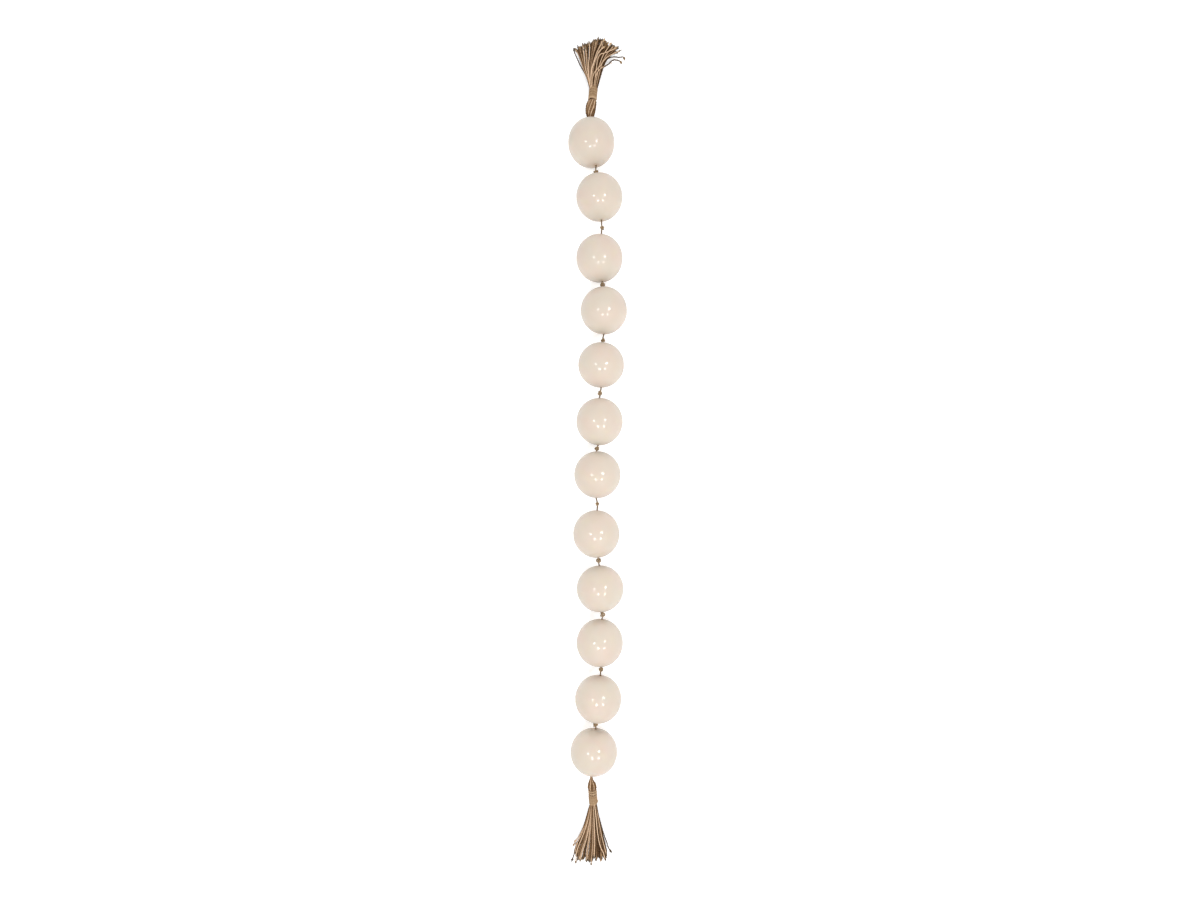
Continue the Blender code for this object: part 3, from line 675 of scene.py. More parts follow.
def lacquer_material(settings):
    """Cream lacquer under a hard clear coat, faintly clouded with blush and yellow, with a painted reflection
    of the twine round its holes.
    """
    material, tree, shader = new_material("cream lacquer", LACQUER_GLOSS)
    place = tree.nodes.new("ShaderNodeTexCoord").outputs["Object"]
    clouds = add_range(tree, add_noise(tree, place, CLOUD_SCALE, 2.0, 0.45), 0.35, 0.65, 0.0, 1.0)
    warm = add_range(tree, add_noise(tree, place, STRAW_SCALE, 1.0), 0.55, 0.75, 0.0, 0.5)
    # Painted reflection of the twine round the holes.
    mouth = add_math(tree, "MULTIPLY", add_attribute(tree, "mouth"), MOUTH_REFLECTION_STRENGTH)
    colour = add_mix(tree, clouds, (*settings.cream, 1.0), (*settings.blush, 1.0))
    colour = add_mix(tree, warm, colour, (*settings.straw, 1.0))
    colour = add_mix(tree, mouth, colour, (*settings.mouth_reflection_tint, 1.0))
    connect(tree, shader["Base Color"], colour)
    orange_peel = add_noise(tree, place, PEEL_SCALE)
    connect(tree, shader["Normal"], add_bump(tree, orange_peel, *LACQUER_BUMP))
    return material


def floor_material(tint):
    """A pale floor that glows faintly. It shows darker in the balls' gloss than it is."""
    material, tree, shader = new_material("pale floor", FLOOR_GLOSS)
    grain = add_noise(tree, tree.nodes.new("ShaderNodeTexCoord").outputs["Object"], GRAIN_SCALE)
    near = tuple(channel * FLOOR_GRAIN for channel in tint)
    colour = add_mix(tree, grain, (*tint, 1.0), (*near, 1.0))
    ray = tree.nodes.new("ShaderNodeLightPath")
    connect(tree, shader["Base Color"], add_mix(tree, ray.outputs["Is Glossy Ray"], colour, FLOOR_MIRRORED))
    return material


# Balls

def deselect_all():
    if bpy.context.object and bpy.context.object.mode != "OBJECT":
        bpy.ops.object.mode_set(mode="OBJECT")
    bpy.ops.object.select_all(action="DESELECT")


def ball_places():
    """Each ball's row, with the Y of its middle and its ends and the places of its two mouths, in metres."""
    places = []
    y = FIRST_BALL_Y
    for row in rows(BALL_COLUMNS, BALL_ROWS):
        half = BALL_RADIUS * row["long"]
        if places:
            y = places[-1]["near_y"] - row["gap"] * MM - half
        row.update(y=y, far_y=y + half, near_y=y - half)
        row["far"] = Vector((row["hole_far"] * MM, row["far_y"], STRING_HEIGHT))
        row["near"] = Vector((row["hole_near"] * MM, row["near_y"], STRING_HEIGHT))
        places.append(row)
    return places


def select_rims(ball):
    """Selects the open rims round a ball's two mouths and nothing else."""
    bpy.ops.mesh.select_all(action="DESELECT")
    bm = bmesh.from_edit_mesh(ball.data)
    for edge in bm.edges:
        edge.select_set(edge.is_boundary)
    bm.select_flush_mode()
    bmesh.update_edit_mesh(ball.data)


def open_ball(settings):
    """One ball with its two mouths cut and rounded, a flat spot underneath and no bore yet."""
    deselect_all()
    bpy.ops.mesh.primitive_uv_sphere_add(segments=settings.sides, ring_count=settings.sides // 2,
                                         radius=BALL_RADIUS, rotation=(math.pi / 2, 0.0, 0.0))
    ball = bpy.context.active_object
    bpy.ops.object.transform_apply(location=False, rotation=True, scale=False)
    bpy.ops.object.mode_set(mode="EDIT")
    bpy.ops.mesh.select_mode(type="VERT")
    bpy.ops.mesh.select_all(action="DESELECT")
    bm = bmesh.from_edit_mesh(ball.data)
    for vert in bm.verts:
        vert.select_set(abs(vert.co.y) > BALL_RADIUS * POLE_SHARE)
    bmesh.update_edit_mesh(ball.data)
    bpy.ops.mesh.delete(type="VERT")
    bpy.ops.mesh.select_mode(type="EDGE")
    rim = BALL_RADIUS * math.sin(2 * math.pi / settings.sides)
    level = BALL_RADIUS * math.cos(2 * math.pi / settings.sides)
    for out, sink in LIP_RINGS:
        reach = BORE_RADIUS + out * settings.lip
        depth = math.sqrt(BALL_RADIUS ** 2 - reach ** 2) - sink * settings.lip
        select_rims(ball)
        bpy.ops.mesh.extrude_edges_move()
        bpy.ops.transform.resize(value=(reach / rim, depth / level, reach / rim),
                                 center_override=(0.0, 0.0, 0.0))
        rim, level = reach, depth
    bpy.ops.mesh.select_all(action="SELECT")
    bpy.ops.mesh.bisect(plane_co=(0.0, 0.0, -STRING_HEIGHT), plane_no=(0.0, 0.0, -1.0), use_fill=True,
                        clear_outer=True)
    bpy.ops.object.mode_set(mode="OBJECT")
    return ball


def lead_mouths(mesh, row):
    """Turns the ball's rings about its upright axis, so that its mouths meet the string. It stays round."""
    far = -math.asin((row["hole_far"] - row["side"]) * MM / BALL_RADIUS)
    near = math.asin((row["hole_near"] - row["side"]) * MM / BALL_RADIUS)
    for vert in mesh.vertices:
        share = (vert.co.y / BALL_RADIUS + 1) / 2
        vert.co.rotate(Quaternion(UP, near + (far - near) * share))


def finish_ball(ball, row, mouth_reflection_reach):
    """Bores the ball from mouth to mouth, puts it in its place and marks where the painted reflection of the
    twine goes round its mouths.
    """
    lead_mouths(ball.data, row)
    deselect_all()
    ball.select_set(True)
    bpy.context.view_layer.objects.active = ball
    bpy.ops.object.mode_set(mode="EDIT")
    bpy.ops.mesh.select_mode(type="EDGE")
    select_rims(ball)
    bpy.ops.mesh.bridge_edge_loops(number_cuts=BORE_CUTS)
    bpy.ops.mesh.select_all(action="SELECT")
    bpy.ops.mesh.normals_make_consistent(inside=False)
    bpy.ops.object.mode_set(mode="OBJECT")
    shape = Matrix.Diagonal((row["wide"], row["long"], 1.0, 1.0))
    ball.data.transform(Matrix.Translation((row["side"] * MM, row["y"], STRING_HEIGHT)) @ shape)
    bpy.ops.object.shade_smooth_by_angle(angle=SHARP_ANGLE)
    mouths = (row["far"], row["near"])
    marks = [max(1 - min((vert.co - mouth).length for mouth in mouths) / mouth_reflection_reach, 0.0)
             for vert in ball.data.vertices]
    ball.data.attributes.new("mouth", "FLOAT", "POINT").data.foreach_set("value", marks)


class GarlandBallSettings(bpy.types.PropertyGroup):
    sides: count_setting("Sides", "Faces round one ball", 72, least=24)
    lip: length_setting("Mouth rounding", "How far a hole's mouth is rounded", 0.6)
    cream: colour_setting("Cream", "Main colour of the lacquer", (0.520, 0.463, 0.391))
    blush: colour_setting("Blush", "Pinkish clouds in the lacquer", (0.536, 0.450, 0.386))
    straw: colour_setting("Straw", "Yellowish clouds in the lacquer", (0.530, 0.480, 0.374))
    # Painted reflection: the peach round the holes stands for the twine mirrored in the gloss.
    mouth_reflection_tint: colour_setting("Mouth", "Peach tint round the holes", (0.56, 0.36, 0.22))
    mouth_reflection_reach: length_setting("Mouth reach", "How far the tint goes from a hole's middle", 8.0)


class GARLAND_OT_balls(bpy.types.Operator):
    """Make the twelve lacquered balls with their bored holes"""

    bl_idname = "garland.balls"
    bl_label = "Balls"

    def execute(self, context):
        settings = context.scene.garland_balls
        lacquer = lacquer_material(settings)
        first = open_ball(settings)
        mesh = first.data
        bpy.data.objects.remove(first, do_unlink=True)
        for number, row in enumerate(ball_places(), start=1):
            node = "ball_%02d" % number
            ball = bpy.data.objects.new("lacquered_" + node, mesh.copy())
            context.scene.collection.objects.link(ball)
            finish_ball(ball, row, settings.mouth_reflection_reach)
            ball.data.materials.append(lacquer)
            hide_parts(node)
            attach(ball, "root")
        bpy.data.meshes.remove(mesh)
        return {"FINISHED"}


# String

def knot_points(centre, knot, settings):
    """Points through one knot, from the side of the ball above it to the ball below it."""
    spread = (knot["width"] * MM / 2 - TWINE_RADIUS) / KNOT_HALF
    turn = Quaternion((0.0, 1.0, 0.0), math.radians(knot["turn"]))
    return [centre + turn @ Vector((spread * (loop.x - KNOT_ASIDE), spread * loop.y * knot["squeeze"],
                                    loop.z * TWINE_RADIUS))
            for loop in overhand(settings.knot_opening, settings.knot_points)]


def string_path(settings):
    """The string's points and tones, through every ball and knot."""
    balls = ball_places()
    knots = rows(KNOT_COLUMNS, KNOT_ROWS)
    lead = Vector((0.0, TOP_HEAD[0][0] * MM - FIT_GAP, 0.0))
    guide = [balls[0]["far"] + lead]
    path = []
    centres = []
    for number, ball in enumerate(balls):
        inside = (ball["far"] - ball["near"]).normalized() * settings.seen_in_bore
        guide += [ball["far"], ball["far"] - inside]
        path += smooth_path(guide, settings.step)
        guide = [ball["near"] + inside, ball["near"]]
        if number < len(knots):
            knot = knots[number]
            centre = Vector((knot["side"] * MM, ball["near_y"] - knot["below"] * MM, STRING_HEIGHT))
            guide += knot_points(centre, knot, settings)
            centres.append((centre, knot["width"] * MM / 2))
    guide.append(balls[-1]["near"] - lead)
    path += smooth_path(guide, settings.step)
    knotted = [any((point - centre).length < reach for centre, reach in centres) for point in path]
    return path, [settings.knot_tone if inside else settings.tone for inside in knotted]


class GarlandStringSettings(bpy.types.PropertyGroup):
    step: length_setting("Step", "Space between two rings of the twine", 0.6)
    lay_length: length_setting("Lay", "Length in which the plies turn once", 7.5)
    seen_in_bore: length_setting("Seen in the bore", "Length made finely inside each mouth", 5.0)
    knot_points: count_setting("Knot points", "Points on the way through one knot", 26)
    knot_opening: number_setting("Knot opening", "Half of a knot's third lobe, which its ends open", 1.0,
                                 subtype="ANGLE")
    tone: number_setting("Tone", "How light the twine is between ball and knot", -0.8)
    knot_tone: number_setting("Knot tone", "How light the twine is in a knot", 0.0)
    # Painted light: the twine is painted lighter on top and darker at its sides.
    painted_top_light: number_setting("Crown", "How much lighter the twine is on top than at its sides", 1.8)
    light: colour_setting("Light", "Light fibres of the twine", (0.56, 0.41, 0.25))
    middle: colour_setting("Middle", "Common colour of the twine", (0.16, 0.10, 0.05))


class GARLAND_OT_string(bpy.types.Operator):
    """Make the knotted twine that runs through all the balls"""

    bl_idname = "garland.string"
    bl_label = "String"

    def execute(self, context):
        settings = context.scene.garland_string
        path, tones = string_path(settings)
        cordage = Cordage()
        twist = 2 * math.pi / settings.lay_length
        cordage.lay_strand(path, [TWINE_RADIUS] * len(path), FINE_PLY, twist, tones, painted_top_light=settings.painted_top_light)
        material = jute_material("jute twine", settings.light, settings.middle, TWINE_DARK, PALE_TIP)
        piece = cordage.piece("knotted_string", material)
        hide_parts("string")
        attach(piece, "root")
        return {"FINISHED"}


# Tassels

def across_frame(tangent, heading):
    """The sideways and upward unit vectors across a tassel that runs along tangent."""
    side = Vector((abs(tangent.y), -tangent.x * heading, 0.0)).normalized()
    return side, side.cross(tangent) * heading


def between(table, along, column):
    """The value of a column of the section table at this place along the tassel, in millimetres."""
    sections = rows(SECTION_COLUMNS, table)
    if along <= sections[0]["along"]:
        return sections[0][column]
    for start, end in zip(sections, sections[1:]):
        if along <= end["along"]:
            share = (along - start["along"]) / (end["along"] - start["along"])
            return start[column] + (end[column] - start[column]) * share
    return sections[-1][column]


def head_centre(tassel, along):
    """The middle of the head or neck at this place along the tassel, in metres."""
    return Vector((between(tassel.head, along, "side") * MM, tassel.pole + tassel.heading * along * MM,
                   between(tassel.head, along, "height") * MM))


def along_tassel(tassel, spot):
    return (spot.y - tassel.pole) * tassel.heading / MM


def head_strand(tassel, settings, start, tone):
    """The points, half sizes and tones of one doubled strand that starts at this angle round the head."""
    first, last = tassel.head[0][0], tassel.head[-1][0]
    side, up = across_frame(Vector((0.0, tassel.heading, 0.0)), tassel.heading)
    grooved = math.cos(start - tassel.groove) > math.cos(math.pi / tassel.head_strands)
    swings = not grooved and math.cos(start) <= HEAD_STRAIGHT
    start_groove, end_groove = tassel.groove_run
    points = []
    widths = []
    tones = []
    for i in range(settings.head_points + 1):
        along = first + (last - HEAD_TUCK - first) * i / settings.head_points
        share = (along - first) / (last - first)
        angle = start + (tassel.head_swing * (1 - (1 - share) ** 2) if swings else 0.0)
        wide = between(tassel.head, along, "wide") * MM
        high = between(tassel.head, along, "high") * MM
        space = math.pi * wide / tassel.head_strands
        half = min(settings.strand_width * HEAD_THICKNESS, space * HEAD_CROWDING)
        depth = 0.0
        if grooved:
            depth = min(max((along - start_groove) / GROOVE_EASE, 0.0),
                        max((end_groove - along) / GROOVE_EASE, 0.0), 1.0)
        sink = half + tassel.groove_depth * depth
        points.append(head_centre(tassel, along) + side * math.cos(angle) * max(wide - sink, HEAD_NEAREST)
                      + up * math.sin(angle) * max(high - sink, HEAD_NEAREST))
        widths.append(half)
        # Painted shade: the head's strands are darker towards its sides.
        edge = abs(math.cos(angle)) ** HEAD_EDGE_SHADE_FALL
        # Painted shade: a strand is painted darker where it sinks into the head's groove.
        tones.append(tone - tassel.head_edge * edge + (tassel.groove_tone - tone) * depth)
    return points, widths, tones


def lay_head(cordage, tassel, settings, noise):
    """The doubled strands round the head, drawn in at the neck, over a core painted dark as the shade inside
    the head.
    """
    core = [head_centre(tassel, row[0]) for row in tassel.head]
    cordage.lay_strand(core, [row[3] * MM - CORE_INSET for row in tassel.head], CORE_ROUND, 0.0,
                       [CORE_SHADE_TONE] * len(core), heights=[row[4] * MM - CORE_INSET for row in tassel.head])
    for number in range(tassel.head_strands):
        start = 2 * math.pi * number / tassel.head_strands
        start += noise.uniform(-HEAD_STRAY_ANGLE, HEAD_STRAY_ANGLE)
        tone = HEAD_TONES[number % 2] + noise.uniform(-HEAD_TONE_SPREAD, HEAD_TONE_SPREAD)
        points, widths, tones = head_strand(tassel, settings, start, tone)
        path = smooth_path(points, settings.step)
        taken = [min(int(len(widths) * i / len(path)), len(widths) - 1) for i in range(len(path))]
        cordage.lay_strand(path, [widths[i] for i in taken], PLAIN_PLY, 2 * math.pi / settings.lay_length,
                           [tones[i] for i in taken], painted_top_light=settings.painted_top_light * HEAD_PAINTED_TOP_LIGHT)


def strand_sizes(path, tassel, settings):
    """A strand's half widths and heights along its path: squeezed upright at the neck, round in the skirt."""
    full = settings.strand_width / 2
    widths = []
    heights = []
    for spot in path:
        along = along_tassel(tassel, spot)
        pitch = 2 * between(tassel.skirt, along, "wide") * MM / (LOWER_COLUMNS - 1)
        widths.append(min(full, SQUEEZED_WIDTH * pitch))
        heights.append(max(full, min(SQUEEZED_HEIGHT * between(tassel.skirt, along, "high"), HIGHEST) * MM))
    return widths, heights


def from_end(path):
    """How far each point of the path is from its end."""
    left = [0.0]
    for before, after in zip(reversed(path[:-1]), reversed(path)):
        left.append(left[-1] + (after - before).length)
    return left[::-1]


def strand_tones(tone, shares, lower):
    """A strand's tones at these shares of its length."""
    if isinstance(tone, tuple):
        start, end = tone
        low, high = TONE_CHANGE
        return [start + (end - start) * clamp((share - low) / (high - low)) for share in shares]
    if lower or tone >= 1.0:
        return [tone] * len(shares)
    return [tone - NECK_SHADE * max(1.0 - share / NECK_REACH, 0.0) for share in shares]


def skirt_strand(cordage, points, tassel, settings, tone, noise, front=False, lower=False, mark=1.0,
                 thin=1.0):
    """Lays one strand of the skirt, with a frayed knob at its cut end."""
    path = smooth_path(points, settings.lower_step if lower else settings.step)
    left = from_end(path)
    tips = [mark * clamp(FRAY_RISE - FRAY_RISE * reach / settings.fray) for reach in left]
    if front:
        widths = heights = [settings.strand_width / 2] * len(path)
    else:
        widths, heights = strand_sizes(path, tassel, settings)
    tones = strand_tones(tone, [i / len(path) for i in range(len(path))], lower)
    if lower:
        widths = [width * LOWER_WIDTH for width in widths]
    else:
        tones = [value + tassel.shade for value in tones]
    swell = noise.uniform(*KNOB_SWELL)
    knob = [thin * (1 + swell * math.exp(-((reach - KNOB_BACK) / KNOB_LENGTH) ** 2)) for reach in left]
    widths = [width * factor for width, factor in zip(widths, knob)]
    heights = [height * (0.5 * thin + 0.5 * factor) for height, factor in zip(heights, knob)]
    for spot, height in zip(path, heights):
        spot.z = max(spot.z, height * RESTING)
    cordage.lay_strand(path, widths, LOWER_ROUND if lower else PLAIN_PLY, 2 * math.pi / settings.lay_length,
                       tones, tips, heights, upright=True, painted_top_light=settings.painted_top_light)
    heading = (path[-1] - path[-3]).normalized()
    end_tone = tone[1] if isinstance(tone, tuple) else tone
    cordage.tuft(path[-1], heading, settings.tuft_spread, settings.tuft_fibres, noise, end_tone, mark)


def from_neck(points, tassel, level):
    """The points with two more before them, which lead out of the binding."""
    end = tassel.head[-1][0]
    aside = clamp(points[0].x - head_centre(tassel, end).x, -NECK_HALF, NECK_HALF)
    shift = Vector((aside, 0.0, level * NECK_RISE))
    return [head_centre(tassel, end - back) + shift for back in NECK_PLACES] + points


def on_skirt(pixel, tassel, level, lift=0.0):
    """The place on a level of the skirt that a pixel of the photograph shows; lift is in millimetres."""
    x, y = pixel
    height = FIRST_HEIGHT
    for _ in range(HEIGHT_ROUNDS):
        spot = from_photo(x, y, height)
        along = along_tassel(tassel, spot)
        wide = between(tassel.skirt, along, "wide")
        aside = min(abs(spot.x / MM - between(tassel.skirt, along, "side")) / wide, 1.0)
        rise = between(tassel.skirt, along, "high") * level * (1 - SKIRT_CROWN * aside * aside)
        height = (between(tassel.skirt, along, "height") + rise + lift) * MM
    return from_photo(x, y, height)


def in_hollow(pixel, tassel):
    x, y, half_width, half_height = tassel.hollow
    return ((pixel.x - x) / half_width) ** 2 + ((pixel.y - y) / half_height) ** 2 < 1


def lay_lower_strands(cordage, tassel, settings, noise):
    """The layers of strands underneath, which lie between the uppermost ones over the whole fan."""
    guides = [even_points([Vector(pixel) for pixel in tassel.strands[number][3]], GUIDE_POINTS)
              for number in tassel.guides]
    reach = [0.0]
    for left, right in zip(guides, guides[1:]):
        reach.append(reach[-1] + (right[FAN_POINT] - left[FAN_POINT]).length)
    for layer, level in enumerate(LOWER_LEVELS):
        for column in range(LOWER_COLUMNS):
            place = (column + (layer * LOWER_STAGGER) % 1.0) / LOWER_COLUMNS * reach[-1]
            number = max(i for i in range(len(guides) - 1) if reach[i] <= place)
            share = (place - reach[number]) / (reach[number + 1] - reach[number])
            cut = LENGTH_CUT + LENGTH_SPREAD * noise.random()
            drift = noise.uniform(-LOWER_DRIFT, LOWER_DRIFT)
            pixels = []
            for i, (left, right) in enumerate(zip(guides[number], guides[number + 1])):
                pixel = left.lerp(right, share)
                pixel.x += drift * i / GUIDE_POINTS
                pixels.append(pixel)
            whole = even_points(pixels, CUT_POINTS)
            pixels = even_points(whole[:int(CUT_POINTS * (1 - cut))], LOWER_POINTS)
            # Painted shade: deeper layers get darker tones.
            tone = noise.uniform(*LOWER_SHADE_TONES[layer])
            if level == LOWER_LEVELS[-1]:
                tone += LOWER_STRIPE * (1 if column % 2 else -1)
            mark = noise.choice(LOWER_TIPS)
            # Painted shade in the hollow between the upper strands.
            if any(in_hollow(pixel, tassel) for pixel in pixels):
                tone = min(tone, HOLLOW_SHADE_TONE)
            points = from_neck([on_skirt(pixel, tassel, level) for pixel in pixels], tassel, level)
            skirt_strand(cordage, points, tassel, settings, tone, noise, lower=True, mark=mark)


def gathered(pixels, tassel):
    """The strand's pixels, with its first one drawn in to the neck and eased out after it."""
    first, second = Vector(pixels[0]), Vector(pixels[1])
    drawn = (tassel.neck_pixel + (first.x - tassel.neck_pixel) * NECK_SHARE, first.y)
    return [drawn, tuple(first.lerp(second, NECK_EASE))] + list(pixels[1:])


def lay_upper_strands(cordage, tassel, settings, noise):
    """The uppermost strands as they lie in the photograph, and the strays at the edge."""
    for number, (tone, lift, front, pixels) in enumerate(tassel.strands):
        level = FRONT_LEVEL if front else UPPER_LEVEL
        points = [on_skirt(pixel, tassel, level, lift) for pixel in gathered(pixels, tassel)]
        points = from_neck(points, tassel, UPPER_LEVEL)
        mark = tassel.pale_tips.get(number, 1.0)
        skirt_strand(cordage, points, tassel, settings, tone, noise, front=bool(front), mark=mark)
    for tone, thin, mark, pixels in tassel.strays:
        points = [from_photo(x, y, height * MM) for x, y, height in pixels]
        if thin > SINGLE_FIBRE:
            points.insert(0, head_centre(tassel, tassel.head[-1][0] - STRAY_START))
        skirt_strand(cordage, points, tassel, settings, tone, noise, mark=mark, thin=thin)


class GarlandTasselSettings(bpy.types.PropertyGroup):
    # Painted light: each strand is painted lighter along its top and darker at its sides.
    painted_top_light: number_setting("Crown", "How much lighter a strand is along its top", 1.3)
    strand_width: length_setting("Strand", "Width of one jute strand", 1.65)
    step: length_setting("Step", "Space between two rings of a strand", 1.0)
    lower_step: length_setting("Lower step", "Space between two rings of a strand underneath", 3.0)
    lay_length: length_setting("Lay", "Length in which a strand's plies turn once", 14.0)
    head_points: count_setting("Head points", "Points along a strand of the head", 10)
    fray: length_setting("Fray", "Length of a strand's frayed tip", 4.2)
    tuft_spread: length_setting("Tuft spread", "How far the fibres of a tip splay", 1.5)
    tuft_fibres: count_setting("Tuft fibres", "Fibres in one frayed tip", 12)
    light: colour_setting("Light", "Light strands", (0.83, 0.59, 0.40))
    middle: colour_setting("Middle", "Common colour of the strands", (0.27, 0.155, 0.075))
    dark: colour_setting("Dark", "Dark fibres", (0.045, 0.020, 0.007))
    tip: colour_setting("Tip", "Greyish cut tips", (0.10, 0.08, 0.055))


def garland_tassels():
    """Both tassels, by the ends of their nodes' names. hollow is a dark spot in the skirt, where the lower
    strands get painted shade, as the middle and the half sizes of an ellipse in the photograph's pixels.
    groove is the angle of a groove in the head, whose strands get painted shade."""
    balls = ball_places()
    top = SimpleNamespace(
        heading=1, pole=balls[0]["far_y"], head=TOP_HEAD, skirt=TOP_SKIRT, strands=TOP_STRANDS,
        strays=TOP_STRAYS, guides=TOP_GUIDES, pale_tips=TOP_PALE_TIPS, turns=TOP_TURNS, end_knot=None,
        seed=5, shade=0.0, neck_pixel=593.2, hollow=(600.8, 59.5, 3.6, 8.0),
        head_strands=16, head_swing=-1.3, head_edge=1.1, groove=math.radians(48), groove_run=(3.0, 14.0),
        groove_depth=0.9 * MM, groove_tone=-1.0)
    bottom = SimpleNamespace(
        heading=-1, pole=balls[-1]["near_y"], head=BOTTOM_HEAD, skirt=BOTTOM_SKIRT, strands=BOTTOM_STRANDS,
        strays=BOTTOM_STRAYS, guides=BOTTOM_GUIDES, pale_tips=BOTTOM_PALE_TIPS, turns=BOTTOM_TURNS,
        end_knot=END_KNOT, seed=8, shade=-0.3, neck_pixel=593.4, hollow=(597.8, 833.0, 1.0, 6.0),
        head_strands=13, head_swing=0.2, head_edge=0.9, groove=math.radians(90), groove_run=(11.0, 23.0),
        groove_depth=0.1 * MM, groove_tone=-0.8)
    return {"top": top, "bottom": bottom}


class GARLAND_OT_tassels(bpy.types.Operator):
    """Make the two jute tassels with their heads, skirts and strays"""

    bl_idname = "garland.tassels"
    bl_label = "Tassels"

    def execute(self, context):
        settings = context.scene.garland_tassels
        material = jute_material("jute strands", settings.light, settings.middle, settings.dark, settings.tip)
        for end, tassel in garland_tassels().items():
            noise = random.Random(tassel.seed)
            cordage = Cordage()
            lay_head(cordage, tassel, settings, noise)
            lay_lower_strands(cordage, tassel, settings, noise)
            lay_upper_strands(cordage, tassel, settings, noise)
            piece = cordage.piece("jute_tassel_" + end, material)
            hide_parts("tassel_" + end)
            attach(piece, "root")
        return {"FINISHED"}


# Bindings

def lay_winding(cordage, tassel, settings, twist):
    """The twine round a neck. Each turn is laid square above it and led over to the next one at its end."""
    neck_start, neck_end = (head_centre(tassel, row[0]) for row in tassel.head[-2:])
    side, up = across_frame((neck_end - neck_start).normalized(), tassel.heading)
    turns = tassel.turns
    path = []
    sizes = []
    tones = []
    for turn, after in zip(turns, turns[1:] + turns[-1:]):
        for i in range(settings.steps):
            angle = 2 * math.pi * i / settings.steps
            share = max(2.0 * i / settings.steps - 1.0, 0.0)
            along, reach, half, tone = (a + (b - a) * share for a, b in zip(turn, after))
            spoke = side * math.cos(angle) + up * math.sin(angle)
            path.append(head_centre(tassel, along) + spoke * reach * MM)
            sizes.append(half * MM)
            tones.append(tone)
    cordage.lay_strand(path, sizes, FINE_PLY, twist, tones)


def lay_end_knot(cordage, tassel, settings, twist):
    """The small knot that ties off the winding at its side."""
    along, aside, height = tassel.end_knot
    centre = head_centre(tassel, along) + Vector((aside, 0.0, height)) * MM
    turn = Quaternion(UP, END_KNOT_TURN)
    middle = Vector((END_KNOT_ASIDE, 0.0, 0.0))
    points = [centre + turn @ (END_KNOT_SHAPE @ (loop - middle)) * settings.knot_spread
              for loop in overhand(END_KNOT_OPENING, END_KNOT_POINTS)]
    path = smooth_path(points, END_KNOT_STEP)
    cordage.lay_strand(path, [TWINE_RADIUS * END_KNOT_THICKNESS] * len(path), PLAIN_PLY, twist,
                       [END_KNOT_TONE] * len(path))


class GarlandBindingSettings(bpy.types.PropertyGroup):
    steps: count_setting("Steps", "Rings of the twine in one turn", 40)
    knot_spread: length_setting("Knot spread", "Size of a lobe of the tied end", 0.6)
    light: colour_setting("Light", "Light fibres of the winding", (0.54, 0.38, 0.24))
    middle: colour_setting("Middle", "Common colour of the winding", (0.35, 0.23, 0.13))


class GARLAND_OT_bindings(bpy.types.Operator):
    """Wind the twine round the necks of both tassels"""

    bl_idname = "garland.bindings"
    bl_label = "Bindings"

    def execute(self, context):
        settings = context.scene.garland_bindings
        twist = 2 * math.pi / context.scene.garland_string.lay_length
        material = jute_material("jute winding", settings.light, settings.middle, WINDING_DARK, PALE_TIP)
        for end, tassel in garland_tassels().items():
            cordage = Cordage()
            lay_winding(cordage, tassel, settings, twist)
            if tassel.end_knot:
                lay_end_knot(cordage, tassel, settings, twist)
            piece = cordage.piece("wound_binding_" + end, material)
            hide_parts("binding_" + end)
            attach(piece, "root")
        return {"FINISHED"}


# Stage

class GarlandStageSettings(bpy.types.PropertyGroup):
    floor_size: length_setting("Floor", "Side of the floor", 8000.0)
    floor_tint: colour_setting("Floor tint", "Colour of the floor", (0.97, 0.97, 0.97))
    sky: number_setting("Sky", "Strength of the even light all round", 0.65)
    ends: number_setting("Ends", "How much lighter the sky is towards both ends", 1.9)
    spots: number_setting("Spots", "Power of each small bright light", 5.0, unit="POWER")
    spot_size: length_setting("Spot size", "Width of each small bright light", 300.0)


def add_spot(name, place, settings):
    """A round light that faces the middle of the garland."""
    light = bpy.data.lights.new(name, "AREA")
    light.shape = "DISK"
    light.size = settings.spot_size
    light.energy = settings.spots
    lamp = bpy.data.objects.new(name, light)
    bpy.context.scene.collection.objects.link(lamp)
    lamp.location = place
    lamp.rotation_mode = "QUATERNION"
    lamp.rotation_quaternion = (-Vector(place)).to_track_quat("-Z", "Y")


def studio_sky(settings):
    """A white sky, lighter low over both ends of the garland, but even where it shows or is mirrored."""
    world = bpy.data.worlds.new("studio")
    world.use_nodes = True
    tree = world.node_tree
    place = tree.nodes.new("ShaderNodeTexCoord").outputs["Generated"]
    split = add_node(tree, "SeparateXYZ", {"Vector": place}).outputs
    lengthwise = add_math(tree, "MULTIPLY", add_math(tree, "ABSOLUTE", split["Y"]), math.cos(END_HEIGHT))
    upwards = add_math(tree, "MULTIPLY", split["Z"], math.sin(END_HEIGHT))
    light = add_range(tree, add_math(tree, "ADD", lengthwise, upwards), math.cos(END_HALF_WIDTH),
                      math.cos(END_HALF_WIDTH / 2), settings.sky, settings.sky + settings.ends)
    ray = tree.nodes.new("ShaderNodeLightPath").outputs
    light = add_mix(tree, ray["Is Glossy Ray"], light, (settings.sky, settings.sky, settings.sky, 1.0))
    light = add_mix(tree, ray["Is Camera Ray"], light, WHITE)
    connect(tree, tree.nodes["Background"].inputs["Color"], light)
    return world


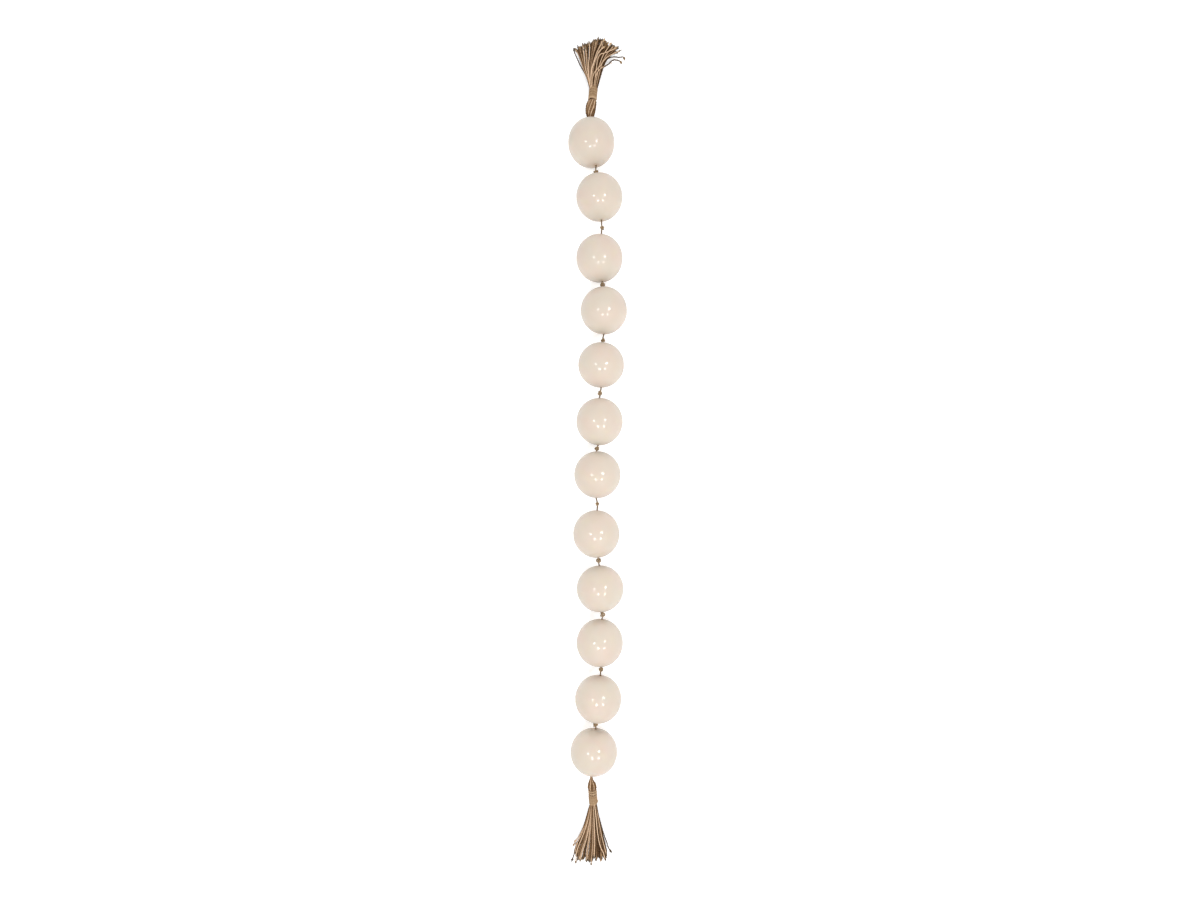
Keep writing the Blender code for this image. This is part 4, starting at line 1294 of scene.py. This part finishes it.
class GARLAND_OT_stage(bpy.types.Operator):
    """Set up the pale floor, the soft light and the camera"""

    bl_idname = "garland.stage"
    bl_label = "Stage"

    def execute(self, context):
        settings = context.scene.garland_stage
        scene = context.scene
        data = bpy.data.cameras.new("camera")
        data.sensor_width = SENSOR_WIDTH
        data.lens = SENSOR_WIDTH * PHOTO_FOCAL / PHOTO_WIDTH
        data.shift_y = (PHOTO_AXIS[1] - PHOTO_MIDDLE_Y) / PHOTO_WIDTH
        camera = bpy.data.objects.new("camera", data)
        scene.collection.objects.link(camera)
        camera.location = CAMERA_PLACE
        scene.camera = camera
        deselect_all()
        bpy.ops.mesh.primitive_plane_add(size=settings.floor_size)
        floor = context.active_object
        floor.name = "floor"
        floor.data.materials.append(floor_material(settings.floor_tint))
        scene.world = studio_sky(settings)
        for number, place in enumerate(SPOT_PLACES, start=1):
            add_spot("spot_%d" % number, place, settings)
        scene.view_settings.view_transform = "Standard"
        return {"FINISHED"}


# Add-on

class GARLAND_PT_panel(bpy.types.Panel):
    """Makes the garland piece by piece"""

    bl_label = "Ball Garland"
    bl_idname = "GARLAND_PT_panel"
    bl_space_type = "VIEW_3D"
    bl_region_type = "UI"
    bl_category = "Garland"

    def draw(self, context):
        for name in SETTINGS:
            box = self.layout.box()
            settings = getattr(context.scene, name)
            for label in settings.bl_rna.properties.keys():
                if label not in ("rna_type", "name"):
                    box.prop(settings, label)
            box.operator(name.replace("_", "."))


SETTINGS = {
    "garland_stage": GarlandStageSettings,
    "garland_string": GarlandStringSettings,
    "garland_balls": GarlandBallSettings,
    "garland_tassels": GarlandTasselSettings,
    "garland_bindings": GarlandBindingSettings,
}
CLASSES = (*SETTINGS.values(), GARLAND_OT_stage, GARLAND_OT_string, GARLAND_OT_balls, GARLAND_OT_tassels,
           GARLAND_OT_bindings, GARLAND_PT_panel)


def register():
    for each in CLASSES:
        bpy.utils.register_class(each)
    for name, group in SETTINGS.items():
        setattr(bpy.types.Scene, name, PointerProperty(type=group))


def unregister():
    for name in SETTINGS:
        delattr(bpy.types.Scene, name)
    for each in reversed(CLASSES):
        bpy.utils.unregister_class(each)


def main():
    register()
    jute_group()
    bpy.ops.garland.stage()
    bpy.ops.garland.string()
    bpy.ops.garland.balls()
    bpy.ops.garland.tassels()
    bpy.ops.garland.bindings()


if __name__ == "__main__":
    main()
